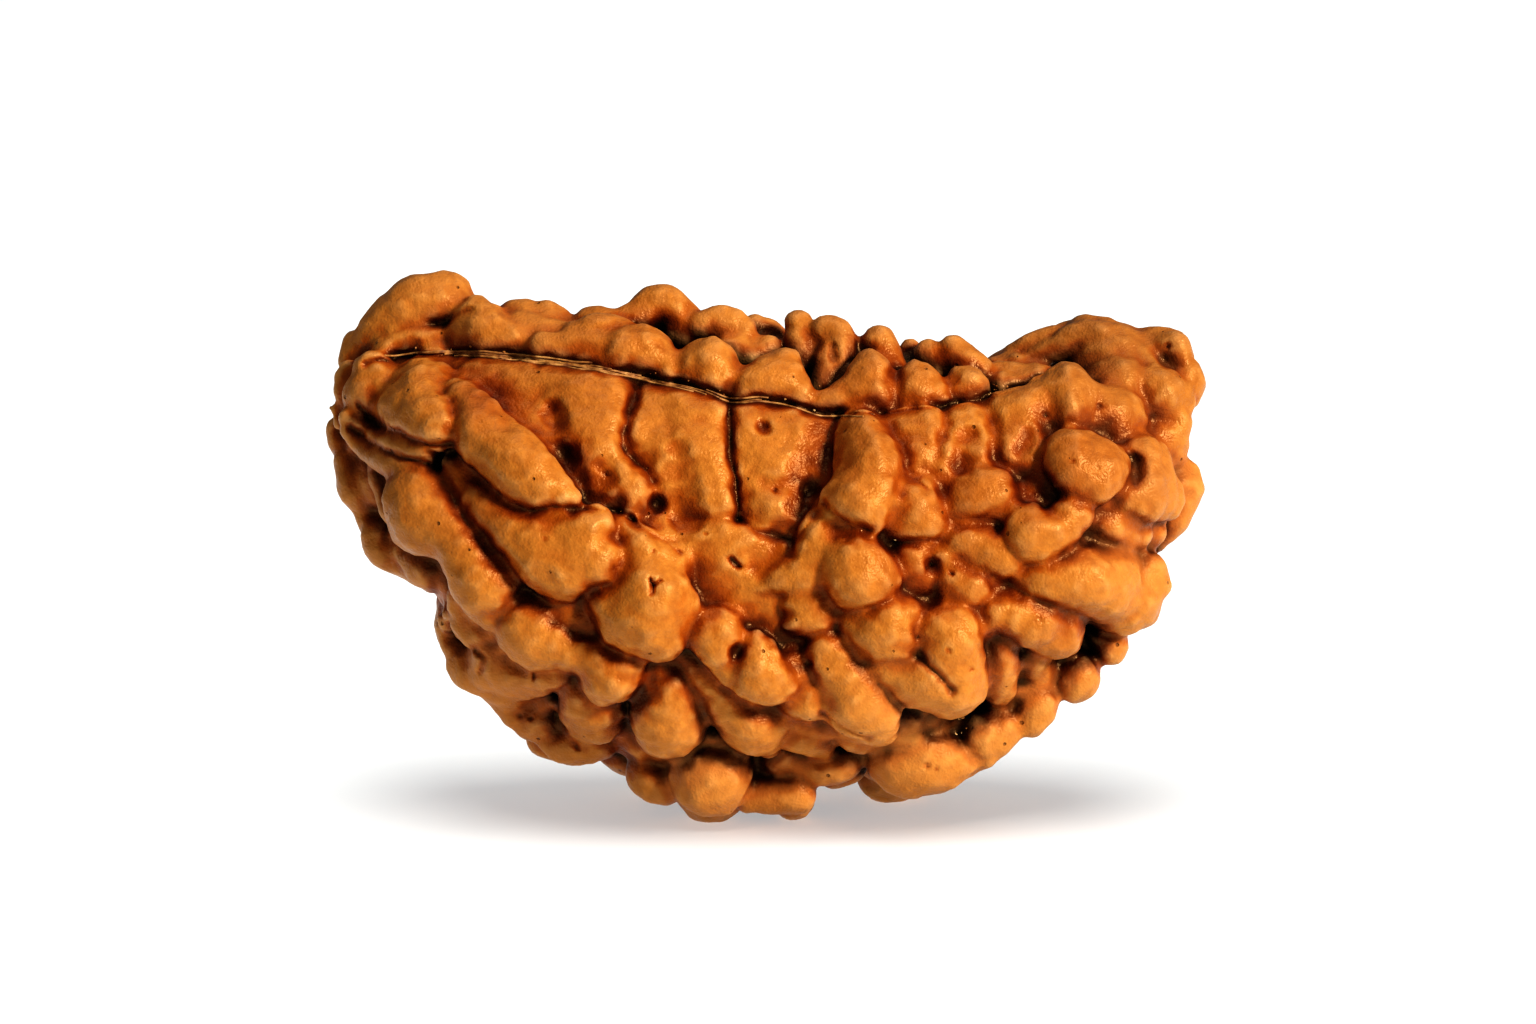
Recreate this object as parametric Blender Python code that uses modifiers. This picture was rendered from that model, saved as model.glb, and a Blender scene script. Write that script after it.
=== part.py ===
"""One mukhi rudraksha: a half-moon bead, the woody stone of a fruit, standing on its convex edge.

The stone grew as one piece, so it is one closed solid. It starts as a smooth half-moon core. Lobes are laid
over the core: pillows, each filled with balls inside an outline, and narrow chains of balls. One voxel remesh
fuses them, hollows and the seam are pressed in, and flat spots are ground where the bead rests. Metres,
+Z up, -Y is the side that shows the seam. The origin is on the resting plane, under the bead's middle.
"""

import math
import random

import bmesh
import bpy
import numpy as np
from mathutils import Vector, noise
from mathutils.bvhtree import BVHTree
from mathutils.kdtree import KDTree

MM = 0.001

# The core under the lobes, in millimetres: its size, its top edge as x and z, and how its top leans back.
CORE_HALF_LENGTH = 13.4
CORE_HALF_DEPTH = 4.45
CORE_BELLY = 2.4
CORE_TOP = [(-14.0, 15.0), (-11.5, 16.0), (-5.0, 15.8), (-1.0, 15.4), (3.0, 14.9), (7.5, 14.8), (10.5, 15.3),
    (14.0, 15.0)]
CORE_LEAN = 0.38
CORE_LEAN_FROM = 8.0
CORE_LEAN_OVER = 5.0
BELLY_RADIUS = 14.2
CORE_BELLY_RISE = 10.2
# How blunt the core's ends are from above and from the front, and how square its section is.
END_BLUNT_DEPTH = 2.8
END_BLUNT_HEIGHT = 6.0
SECTION_SQUARE = 0.8

# The tables of the seam side are as seen from a little above: right of the middle, then height in the view.
VIEW_TILT = math.radians(12.0)
VIEW_UP = Vector((0.0, math.sin(VIEW_TILT), math.cos(VIEW_TILT)))
VIEW_AWAY = Vector((0.0, math.cos(VIEW_TILT), -math.sin(VIEW_TILT)))
VIEW_START = 20.0
# Beside the core, how far along the line of sight the nearest pass is looked for.
SIGHT_FROM = 14.0
SIGHT_STEP = 0.25
SIGHT_STEPS = 49

# How finely the bead is made, in millimetres.
VOXEL = 0.18
SMOOTH_STEPS = 1
SMOOTH_FACTOR = 0.5
SOLID_TRIANGLES = 11400
SEED = 11
UNEVEN = 0.12
UNEVEN_WAVE = 1.1
GROWTH_HEIGHT = 0.12
GROWTH_WAVE = 1.3
GRID_STEP = 0.1
GRID_RIGHT = 15.6
GRID_LOW = -0.6
GRID_TOP = 19.2
PILLOW_EVERY = 3
PILLOW_SPREAD = 0.0
PILLOW_LEAST = 0.25
ROOT_DEPTH = 0.55
GAP_CLOSED = 0.45
OVERLAP = 0.16
OPEN_EDGE = 0.15
OUTLINE_STEP = 0.3
FAR_GAP = 1.5
# Lobes raised more than LEANING stand out most at their lower right end, by LEAN for each millimetre.
LEANING = 0.5
LEAN_WAY = np.array([0.4, -0.92])
LEAN = 0.14
LEAN_MOST = 0.3
# How far an upright lobe leans back for each millimetre of height.
STAND_BACK = 0.35
STRAY = 0.12
STRAY_WAVE = 0.7
# A mark pressed in: its reach over its half width, how round it is, and how fast it fades where the skin
# turns away from the view.
PRESS_REACH = 1.4
PRESS_ROUND = 1.5
PRESS_FACING = 2.0
CHAIN_SWELL = 1.03
CORE_SWELL = 0.05
BALL_STEP = 0.28

# A pillow is a lobe with an outline: its name, its lift off the core, its thickness and the outline.
PILLOWS = [
    ("crown", -0.5, 1.25, [(-14.13, 16.23), (-14.0, 16.78), (-13.5, 17.4), (-13.0, 17.9), (-12.4, 18.3),
        (-11.7, 18.52), (-11.0, 18.62), (-10.45, 18.5), (-10.05, 18.1), (-9.85, 17.6), (-9.95, 17.0),
        (-10.6, 16.6), (-11.6, 16.3), (-12.7, 16.0), (-13.6, 15.6), (-14.06, 15.7)]),
    ("rim", 0.45, 0.85, [(-13.6, 15.5), (-13.35, 16.1), (-12.7, 16.55), (-11.85, 16.65), (-11.2, 16.75),
        (-10.6, 17.15), (-10.1, 17.55), (-9.7, 17.55), (-9.3, 17.3), (-8.8, 16.9), (-8.2, 16.55),
        (-7.2, 16.3), (-6.1, 16.35), (-5.1, 16.5), (-4.4, 16.65), (-3.8, 16.5), (-3.3, 16), (-3.1, 15.5),
        (-3.1, 14.8), (-3.9, 14.98), (-5.3, 15.2), (-7, 15.4), (-9, 15.62), (-10.3, 15.72), (-11.7, 15.68),
        (-12.75, 15.55)]),
    ("rim_wall", 0.3, 0.6, [(-10.0, 15.8), (-9.7, 17.2), (-9.0, 17.0), (-8.2, 17.1), (-7.3, 16.9),
        (-6.5, 16.7), (-5.6, 16.9), (-4.7, 16.75), (-4.2, 16.2), (-4.2, 15.3), (-7.0, 15.5)]),
    ("shoulder", -0.9, 0.9, [(-9, 15.8), (-8.8, 16.8), (-7.8, 17.05), (-6.5, 16.85), (-5, 16.95),
        (-3.8, 17.5), (-2.6, 16.95), (-1.3, 17), (-0.4, 16.7), (0.6, 16.3), (1.6, 16.3), (2.4, 16.5),
        (3.3, 15.9), (4.2, 15.9), (5.2, 15.6), (6.4, 15.6), (7.4, 15.1), (7.5, 14.4), (6, 14.2), (4, 14.1),
        (2, 14.2), (0, 14.5), (-2, 14.9), (-4, 15.2), (-7, 15.6)]),
    ("rise_a", 0.45, 0.8, [(-3.02, 15.5), (-2.55, 15.8), (-2.0, 16.12), (-1.55, 16.0), (-1.15, 15.65),
        (-1.05, 15.15), (-1.05, 14.55), (-1.45, 14.45), (-2.15, 14.6), (-2.9, 14.8)]),
    ("rise_b", 0.4, 0.85, [(-1.0, 15.05), (-0.4, 15.3), (0.2, 15.65), (0.74, 15.85), (1.05, 15.6),
        (1.32, 14.75), (1.65, 13.85), (1.0, 14.0), (0.0, 14.15), (-0.75, 14.15), (-1.02, 14.5)]),
    ("rise_c", 0.4, 0.85, [(1.68, 14.15), (2.3, 14.45), (2.8, 14.9), (3.15, 15.5), (3.55, 15.8),
        (4.0, 15.6), (4.27, 15.0), (4.4, 14.3), (4.38, 13.8), (3.65, 13.7), (2.6, 13.7), (1.8, 13.75)]),
    ("rise_d", 0.4, 0.75, [(4.48, 14.45), (4.7, 15.05), (5.15, 15.45), (5.65, 15.15), (6.05, 14.6),
        (6.16, 13.95), (5.4, 13.8), (4.55, 13.85)]),
    ("rise_e", 0.4, 0.65, [(6.25, 14.45), (6.4, 15.0), (6.85, 15.28), (7.35, 15.0), (7.58, 14.5),
        (7.2, 14.2), (6.65, 14.05), (6.25, 14.05)]),
    ("flap", 1.0, 0.95, [(-14.3, 14.57), (-13.8, 15.0), (-13.1, 15.12), (-12.7, 15.3), (-11.7, 15.4),
        (-11.0, 15.26), (-10.65, 14.9), (-10.95, 14.5), (-10.9, 14.1), (-10.6, 13.75), (-10.4, 13.3),
        (-10.45, 12.9), (-10.9, 12.66), (-11.7, 12.7), (-12.4, 12.95), (-13.05, 13.3), (-13.45, 13.8),
        (-13.86, 14.2)]),
    ("finger_a", 0.95, 1.2, [(-12.75, 11.45), (-12.06, 11.75), (-11.3, 11.66), (-10.88, 11.04),
        (-10.3, 10.2), (-9.5, 9.35), (-8.8, 8.45), (-8.4, 7.9), (-8.65, 7.45), (-9.0, 7.1), (-9.05, 6.4),
        (-9.65, 6.68), (-10.36, 7.45), (-10.64, 8.23), (-11.0, 8.86), (-11.85, 9.07), (-12.54, 9.56),
        (-12.75, 10.2), (-12.85, 10.8)]),
    ("finger_b", 1.0, 1.15, [(-9.0, 7.0), (-8.46, 7.45), (-7.75, 7.66), (-7.2, 7.45), (-6.85, 6.82),
        (-6.2, 6.26), (-5.3, 5.83), (-4.45, 5.55), (-4.16, 5.27), (-4.23, 4.85), (-4.58, 4.28),
        (-5.15, 3.9), (-5.64, 3.93), (-6.0, 4.43), (-6.27, 5.0), (-6.9, 5.16), (-7.96, 5.2), (-8.67, 5.62),
        (-8.95, 6.18)]),
    ("finger_c", 1.15, 0.95, [(-10.88, 14.57), (-10.46, 14.77), (-9.77, 14.43), (-9.22, 13.94),
        (-8.8, 13.46), (-7.9, 12.84), (-7.2, 12.0), (-6.65, 11.24), (-6.24, 10.62), (-6.45, 10.38),
        (-7.2, 10.38), (-7.9, 10.5), (-8.52, 10.83), (-9.29, 11.52), (-10.05, 12.14), (-10.4, 12.63),
        (-10.4, 13.1), (-10.53, 13.67), (-10.88, 14.08)]),
    ("finger_d", 1.05, 1, [(-10, 11.35), (-9.45, 11.15), (-8.5, 10.5), (-7.75, 10.28), (-6.9, 10.35),
        (-6.1, 10.4), (-5.4, 10.35), (-5.15, 9.9), (-5.3, 9.45), (-5.05, 9.1), (-4.95, 8.65), (-5.15, 8.15),
        (-5.65, 8), (-6.05, 8.05), (-6.2, 7.7), (-6.6, 7.5), (-7.25, 7.55), (-7.75, 7.85), (-8.5, 8.6),
        (-9.3, 9.55), (-10, 10.4), (-10.3, 11)]),
    ("tongue_top", 0.4, 1, [(-4.6, 10.2), (-4.2, 9.8), (-3.5, 9.45), (-2.7, 9.05), (-2.6, 8.4), (-2.5, 7.7),
        (-2.8, 7.2), (-3.8, 7), (-4.9, 7.2), (-5.03, 7.96), (-4.96, 8.42), (-4.96, 9), (-5.1, 9.5),
        (-5.2, 10.1)]),
    ("tongue", 1.1, 1.25, [(-4.9, 8), (-4.6, 8.5), (-3.9, 8.75), (-3.2, 8.5), (-2.7, 8), (-2.5, 7.6),
        (-2.35, 7.2), (-2.5, 6.8), (-2.75, 6.44), (-2.8, 6), (-3.13, 5.6), (-3.62, 5.42), (-4.25, 5.6),
        (-5.1, 5.95), (-5.6, 6.6), (-5.94, 7.29), (-5.9, 7.78)]),
    ("heel_d", -0.9, 0.9, [(-13.73, 9.98), (-13.8, 9.35), (-13.45, 8.65), (-12.9, 8.3), (-12.26, 7.94),
        (-11.7, 7.66), (-11.13, 7.8), (-10.78, 8.0), (-10.85, 8.65), (-11.06, 8.9), (-11.97, 9.07),
        (-12.54, 9.56), (-12.82, 10.2), (-13.38, 10.13)]),
    ("heel_f", 0.25, 0.85, [(-10.71, 7.8), (-10.64, 7.1), (-10.36, 6.26), (-9.72, 5.83), (-9.1, 5.97),
        (-9.02, 6.4), (-9.7, 6.75), (-10.25, 7.35), (-10.5, 7.9)]),
    ("heel_h", 0.55, 1.1, [(-10.85, 7.1), (-11.16, 6.68), (-11.16, 5.97), (-10.92, 5.34), (-10.71, 4.64),
        (-10.2, 4.2), (-9.37, 3.97), (-8.31, 4.04), (-7.54, 4.2), (-6.91, 4.57), (-6.56, 5.0), (-7.6, 5.2),
        (-8.5, 5.34), (-8.95, 5.9), (-9.93, 5.83), (-10.36, 6.11), (-10.64, 6.82)]),
    ("heel_i", 0.35, 0.95, [(-9.35, 4.1), (-9.2, 3.5), (-8.7, 2.95), (-8, 2.62), (-7.3, 2.7), (-7, 3.2),
        (-7, 3.8), (-7.3, 4.2), (-8.3, 4.2)]),
    ("heel_k", 0.5, 0.85, [(-6.7, 4.6), (-6.84, 4.0), (-6.9, 3.37), (-6.7, 2.9), (-5.92, 2.46), (-5.3, 2.6),
        (-5.0, 3.16), (-4.87, 3.72), (-5.15, 4.0), (-5.64, 4.1), (-6.0, 4.5)]),
    ("heel_j", 0.35, 0.75, [(-7.75, 2.75), (-7.4, 2.2), (-6.9, 1.88), (-6.2, 1.85), (-5.4, 2.1),
        (-5.1, 2.55), (-5.5, 2.9), (-6.4, 3), (-7.2, 3)]),
    ("panel_a", -0.22, 0.85, [(-10.7, 15.4), (-9.0, 15.45), (-7.5, 15.3), (-6.0, 15.1), (-5.0, 14.95),
        (-4.55, 14.78), (-4.5, 13.9), (-4.78, 13.2), (-4.75, 12.4), (-4.15, 11.87), (-3.83, 11.35),
        (-3.78, 10.85), (-4.1, 10.15), (-4.5, 9.95), (-5.1, 10.35), (-6.1, 10.5), (-7.0, 10.9),
        (-7.9, 11.9), (-9.2, 13.0), (-10.4, 14.0)]),
    ("panel_b", -0.35, 0.85, [(-4.3, 14.65), (-3.3, 14.5), (-2.2, 14.3), (-1.15, 14.1), (-1.05, 13.0),
        (-0.97, 12.0), (-0.88, 11.2), (-0.78, 10.1), (-1.2, 9.7), (-2.2, 9.7), (-3.2, 9.9), (-3.75, 10.1),
        (-3.75, 10.9), (-3.85, 11.4), (-4.15, 11.9), (-4.75, 12.5), (-4.8, 13.1), (-4.5, 13.9)]),
    ("panel_c", -0.35, 0.85, [(-1.35, 14.1), (0.0, 14.1), (1.0, 13.9), (1.7, 13.6), (3.1, 13.5),
        (3.2, 13.0), (3.1, 12.2), (2.8, 11.4), (2.2, 10.8), (1.4, 10.2), (0.9, 9.6), (0.0, 9.6),
        (-0.85, 9.95), (-1.05, 10.4), (-1.2, 11.3), (-1.3, 12.2)]),
    ("web", -0.15, 0.8, [(-4.2, 10.2), (-3.2, 10.2), (-2.2, 10), (-1, 10), (0, 9.8), (0.9, 9.7),
        (1.6, 10.4), (2.1, 10.9), (2.9, 10.3), (3.6, 9.6), (3, 8.6), (2.4, 8), (2.6, 7), (2.4, 6.2),
        (1.4, 5.6), (0.5, 5.3), (-0.4, 5.6), (-1.3, 6), (-2.1, 6.4), (-2.7, 7.2), (-2.9, 8), (-3, 8.7),
        (-3.4, 9.3), (-4, 9.8)]),
    ("web_edge", -0.1, 0.75, [(-2.6, 8.7), (-2.28, 9.07), (-1.75, 9.05), (-1.3, 8.55), (-0.8, 8.2),
        (-0.2, 7.9), (-0.4, 7.3), (-1.1, 7.0), (-1.6, 7.1), (-2.2, 7.45), (-2.55, 8.0)]),
    ("apron", 0.45, 0.7, [(2, 10.68), (2.75, 10.35), (3.6, 9.85), (3.4, 9.4), (2.7, 9.2), (2.5, 8.6),
        (2.3, 7.9), (2.1, 7.5), (1.6, 7.3), (1, 7.6), (0.2, 7.75), (-0.65, 7.5), (-0.15, 8.05), (0.5, 8.55),
        (0.9, 8.95), (1.05, 9.35)]),
    ("worm", 0.95, 0.95, [(2.85, 13.68), (3.5, 13.7), (3.95, 13.2), (4.15, 12.8), (4.42, 12.2),
        (4.5, 11.67), (4.3, 10.8), (4.05, 10.1), (3.6, 9.65), (2.8, 9.9), (1.95, 10.6), (2.35, 11.4),
        (2.55, 12.36), (2.55, 13.06)]),
    ("knob_c", 0.85, 1.05, [(2.2, 9.3), (2.7, 9.62), (3.3, 9.62), (3.8, 9.3), (4.2, 8.67), (4.4, 8.14),
        (4.27, 7.7), (3.66, 7.26), (2.95, 7.1), (2.42, 7.35), (2.1, 7.97), (2.15, 8.6)]),
    ("knob_d", 0.5, 0.75, [(0.8, 7.57), (1.5, 7.85), (2.08, 7.57), (2.36, 6.94), (2.15, 6.52), (1.66, 6.28),
        (1.02, 6.3), (0.7, 6.7)]),
    ("twin_left", 1.0, 0.95, [(-2.57, 6.73), (-2.0, 6.94), (-1.5, 7.04), (-1.1, 6.8), (-0.84, 6.45),
        (-0.9, 5.95), (-0.9, 5.3), (-0.6, 4.7), (-1.0, 4.35), (-1.6, 4.9), (-2.15, 5.55), (-2.6, 5.95),
        (-2.7, 6.4)]),
    ("twin_right", 1.15, 1.0, [(-0.85, 5.9), (-0.67, 6.23), (-0.3, 6.27), (0.25, 5.8), (0.6, 5.25),
        (0.9, 4.6), (0.75, 4.1), (0.2, 3.95), (-0.35, 4.0), (-1.1, 4.45), (-1.1, 5.2)]),
    ("leg_b", 0.75, 0.75, [(0.6, 5.55), (0.88, 5.74), (1.3, 5.6), (1.45, 5.0), (1.95, 4.33), (2.15, 3.84),
        (1.8, 3.42), (1.3, 3.38), (0.6, 3.84), (0.95, 4.54), (0.7, 5.2)]),
    ("leg_a", 1.0, 1.05, [(1.45, 5.6), (1.8, 6.16), (2.3, 6.3), (2.8, 5.85), (3.48, 5.0), (4.0, 4.45),
        (4.3, 3.92), (4.45, 3.22), (4.27, 2.6), (3.9, 2.45), (3.2, 2.7), (2.5, 3.0), (2.08, 3.6),
        (2.08, 4.26), (1.75, 4.9)]),
    ("leg_a_toe", 0.5, 0.7, [(2.4, 3.1), (2.7, 2.4), (3.3, 1.95), (3.8, 1.9), (3.95, 2.3), (3.8, 2.9),
        (3.1, 3.2)]),
    ("leg_c", 0.5, 1.05, [(-2.85, 5.46), (-2.14, 5.46), (-1.44, 4.7), (-0.74, 4.2), (0.1, 3.95),
        (0.67, 3.7), (0.92, 3.35), (0.74, 2.86), (0.4, 2.36), (-0.3, 2.15), (-0.88, 2.36), (-1.44, 2.86),
        (-1.93, 3.63), (-2.2, 4.4), (-2.64, 5.04)]),
    ("leg_d", 0.6, 1.1, [(-3.9, 5.39), (-3.34, 5.42), (-2.85, 4.9), (-2.42, 4.2), (-2.2, 3.5), (-2.14, 3.0),
        (-2.57, 2.36), (-3.2, 1.94), (-3.76, 2.0), (-4.18, 2.43), (-4.36, 3.07), (-4.3, 3.84),
        (-4.1, 4.7)]),
    ("bulb_back", 0.35, 0.5, [(4.2, 7.5), (4.7, 7.5), (5.6, 7.25), (6.5, 7.25), (7.1, 6.9), (7.2, 6.4),
        (6.8, 6.6), (5.9, 6.9), (4.8, 7.0)]),
    ("bulb_left", 0.95, 1.05, [(2.69, 6.47), (2.86, 6.9), (3.39, 7.17), (4.0, 7.44), (4.8, 7.35),
        (5.24, 6.82), (5.06, 6.38), (5.2, 5.85), (4.9, 5.46), (4.18, 5.33), (3.66, 5.37), (3.04, 5.85)]),
    ("bulb_right", 1.05, 1.15, [(5.2, 6.8), (5.9, 7.1), (6.65, 7.0), (7.13, 6.45), (7.26, 5.6), (7.4, 4.8),
        (7.35, 4.25), (7.0, 3.75), (6.45, 3.5), (5.95, 3.55), (5.2, 3.9), (4.3, 4.4), (3.5, 4.95),
        (3.5, 5.4), (4.2, 5.6), (5.0, 5.7), (5.2, 6.2)]),
    ("right_a", 0.3, 0.8, [(3.79, 13.34), (4.18, 13.6), (5.0, 13.75), (5.68, 13.75), (6.0, 13.43),
        (6.0, 12.72), (5.77, 12.02), (5.5, 11.4), (4.9, 11.5), (4.54, 11.84), (4.27, 12.55)]),
    ("right_b", 0.35, 0.65, [(6.21, 13.69), (6.82, 14.02), (7.35, 14.02), (7.6, 13.43), (7.6, 12.55),
        (7.53, 11.84), (6.95, 11.6), (6.65, 11.9), (6.29, 11.32), (5.85, 10.88), (5.57, 11.23),
        (5.7, 11.84), (6.05, 12.72), (6.14, 13.25)]),
    ("right_c", 0.35, 0.95, [(4.3, 11.9), (5, 11.6), (5.65, 11.15), (5.95, 10.6), (6.15, 9.9), (5.9, 9.36),
        (5, 9.3), (4.1, 9.28), (3.65, 9.6), (3.95, 10.44), (4.2, 11.14)]),
    ("right_d", 0.2, 0.7, [(4.0, 9.02), (4.54, 9.24), (5.4, 9.25), (5.55, 8.6), (5.85, 8.19), (5.5, 7.61),
        (4.8, 7.7), (4.3, 7.8), (4.4, 8.14)]),
    ("right_e", 0.3, 0.8, [(5.59, 8.67), (5.9, 9.2), (6.47, 8.7), (7.17, 8.41), (7.88, 7.97), (7.53, 7.44),
        (7.0, 7.17), (6.29, 7.17), (5.6, 7.53), (5.85, 8.05)]),
    ("right_f", 0.45, 0.75, [(6.2, 9.6), (6.47, 8.93), (7.17, 8.58), (7.96, 8.05), (8.4, 8.23), (8.8, 8.58),
        (8.5, 9.2), (8.05, 9.6), (7.53, 9.64), (6.9, 9.65)]),
    ("right_g", 0.45, 0.8, [(6.5, 11.45), (7, 11.75), (7.6, 11.82), (8.1, 11.6), (8.5, 11.05), (8.4, 10.5),
        (8, 10.15), (7.2, 10.2), (6.4, 10.2), (6.1, 10.7)]),
    ("right_h", 0.1, 0.6, [(6.15, 10.35), (7.17, 10.35), (7.96, 10.17), (8.2, 9.73), (7.6, 9.45),
        (6.65, 9.45), (6.05, 9.7)]),
    ("dark_pea", 0.1, 0.4, [(8.45, 11.14), (8.93, 11.36), (9.55, 11.4), (10.03, 11.05), (9.8, 10.7),
        (9.2, 10.6), (8.58, 10.79)]),
    ("heart", 0.95, 0.85, [(8.23, 10.08), (8.58, 10.52), (9.1, 10.52), (9.55, 10.1), (9.75, 10.52),
        (10.25, 10.79), (10.87, 10.6), (11.09, 10.26), (10.69, 9.73), (10.25, 9.29), (9.55, 8.85),
        (8.93, 8.76), (8.49, 9.12), (8.23, 9.56)]),
    ("fist", 1, 1, [(9.6, 12.6), (9.95, 12.98), (10.6, 12.98), (11.3, 12.75), (12, 12.4), (12.3, 11.95),
        (12, 11.3), (11.3, 10.7), (10.6, 10.78), (10.1, 11.05), (9.8, 11.4), (9.62, 11.9)]),
    ("thumb", 0.8, 0.9, [(12.2, 12.37), (12.63, 12.81), (13.15, 12.81), (13.68, 12.28), (13.77, 11.84),
        (14.12, 11.14), (14.03, 10.52), (13.5, 10.17), (12.8, 10.13), (12.28, 10.35), (11.84, 10.7),
        (12.1, 11.14), (12.36, 11.58)]),
    ("thumb_back", -0.9, 0.85, [(13.77, 12.11), (14.21, 12.33), (14.65, 12.11), (15.0, 11.49),
        (15.05, 10.96), (14.74, 10.26), (14.21, 9.56), (13.68, 9.12), (13.2, 9.3), (13.2, 11.0)]),
    ("palm", 0.35, 0.7, [(11.13, 10.26), (11.75, 10.52), (12.28, 10.26), (12.89, 10.08), (13.42, 10.08),
        (13.59, 9.64), (13.24, 9.2), (12.45, 9.12), (11.57, 9.29), (10.96, 9.56)]),
    ("crest", -0.9, 0.95, [(7.44, 15.2), (8.05, 15.85), (8.93, 16.3), (9.8, 16.45), (10.43, 16.85),
        (11.13, 17.1), (11.75, 17.0), (12.45, 16.68), (13.33, 16.55), (14.2, 16.55), (14.56, 16.15),
        (14.6, 15.5), (13.77, 15.0), (13.24, 14.48), (12.8, 13.95), (12.0, 14.48), (11.57, 14.6),
        (10.69, 15.3), (10.08, 15.3), (9.46, 14.97), (8.93, 14.61), (8.23, 14.44), (7.7, 14.31),
        (7.53, 14.92)]),
    ("crest_lobe", 0.0, 0.6, [(7.6, 15.0), (8.4, 15.7), (9.2, 15.5), (9.5, 15.1), (8.76, 14.66),
        (8.05, 14.42)]),
    ("facet", 0.0, 0.75, [(10.69, 15.4), (11.22, 16.0), (12.0, 16.3), (12.8, 16.15), (13.24, 15.36),
        (13.24, 14.48), (12.8, 13.95), (12.0, 14.48), (11.22, 14.83)]),
    ("cheek", -0.6, 0.65, [(13.77, 15.2), (14.21, 15.45), (14.65, 15.54), (15.0, 15.19), (15.05, 14.57),
        (14.83, 14.04), (14.4, 13.9), (14.0, 14.5)]),
    ("ear", 0.0, 0.85, [(13.24, 14.48), (13.77, 14.83), (14.3, 14.75), (14.56, 14.22), (14.6, 13.6),
        (14.47, 12.9), (14.12, 12.37), (13.77, 12.15), (13.5, 12.5), (13.0, 13.0), (12.9, 13.6)]),
    ("peak", 0.0, 0.85, [(7.63, 14.04), (8.23, 14.37), (8.93, 14.55), (9.46, 14.9), (10.08, 15.25),
        (10.52, 15.25), (11.04, 14.8), (11.57, 14.5), (12.45, 14.3), (12.89, 13.87), (12.89, 13.34),
        (12.45, 12.75), (12.1, 12.42), (11.57, 12.64), (11.04, 12.9), (10.69, 13.0), (10.16, 13.03),
        (9.72, 12.9), (9.68, 12.02), (9.11, 11.67), (8.41, 11.5), (7.88, 11.84), (7.67, 12.37),
        (7.63, 13.25)]),
    ("bun", 0.85, 1.3, [(8.4, 8.05), (8.93, 8.49), (9.8, 8.9), (10.5, 9.15), (11.57, 9.0), (12.63, 8.93),
        (13.42, 8.8), (13.75, 8.23), (13.77, 7.6), (13.33, 7.0), (12.8, 6.38), (12.28, 6.34), (11.4, 6.65),
        (10.69, 7.0), (9.8, 7.35), (8.93, 7.6)]),
    ("finger_e", 0.7, 0.95, [(7.09, 6.9), (7.53, 7.44), (8.05, 7.6), (8.93, 7.46), (9.8, 7.22),
        (10.52, 6.82), (10.72, 6.29), (10.56, 5.77), (10.08, 5.48), (9.37, 5.68), (8.67, 6.03),
        (8.05, 6.38), (7.53, 6.21), (7.17, 6.38)]),
    ("base_e", 0.8, 1.3, [(3.58, 2), (3.78, 3.01), (4.59, 3.52), (5.7, 3.25), (6.62, 2.45), (7.12, 1.7),
        (6.51, 0.95), (5.3, 0.63), (4.09, 0.79)]),
    ("base_f", 0.45, 1.0, [(6.2, 0.95), (7.2, 1.4), (8.2, 2.05), (8.72, 2.7), (8.65, 3.3), (8.3, 3.75),
        (7.8, 3.6), (7.3, 3.9), (6.9, 3.6), (6.7, 3.0), (6.3, 2.4), (6.0, 1.6)]),
]

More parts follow.
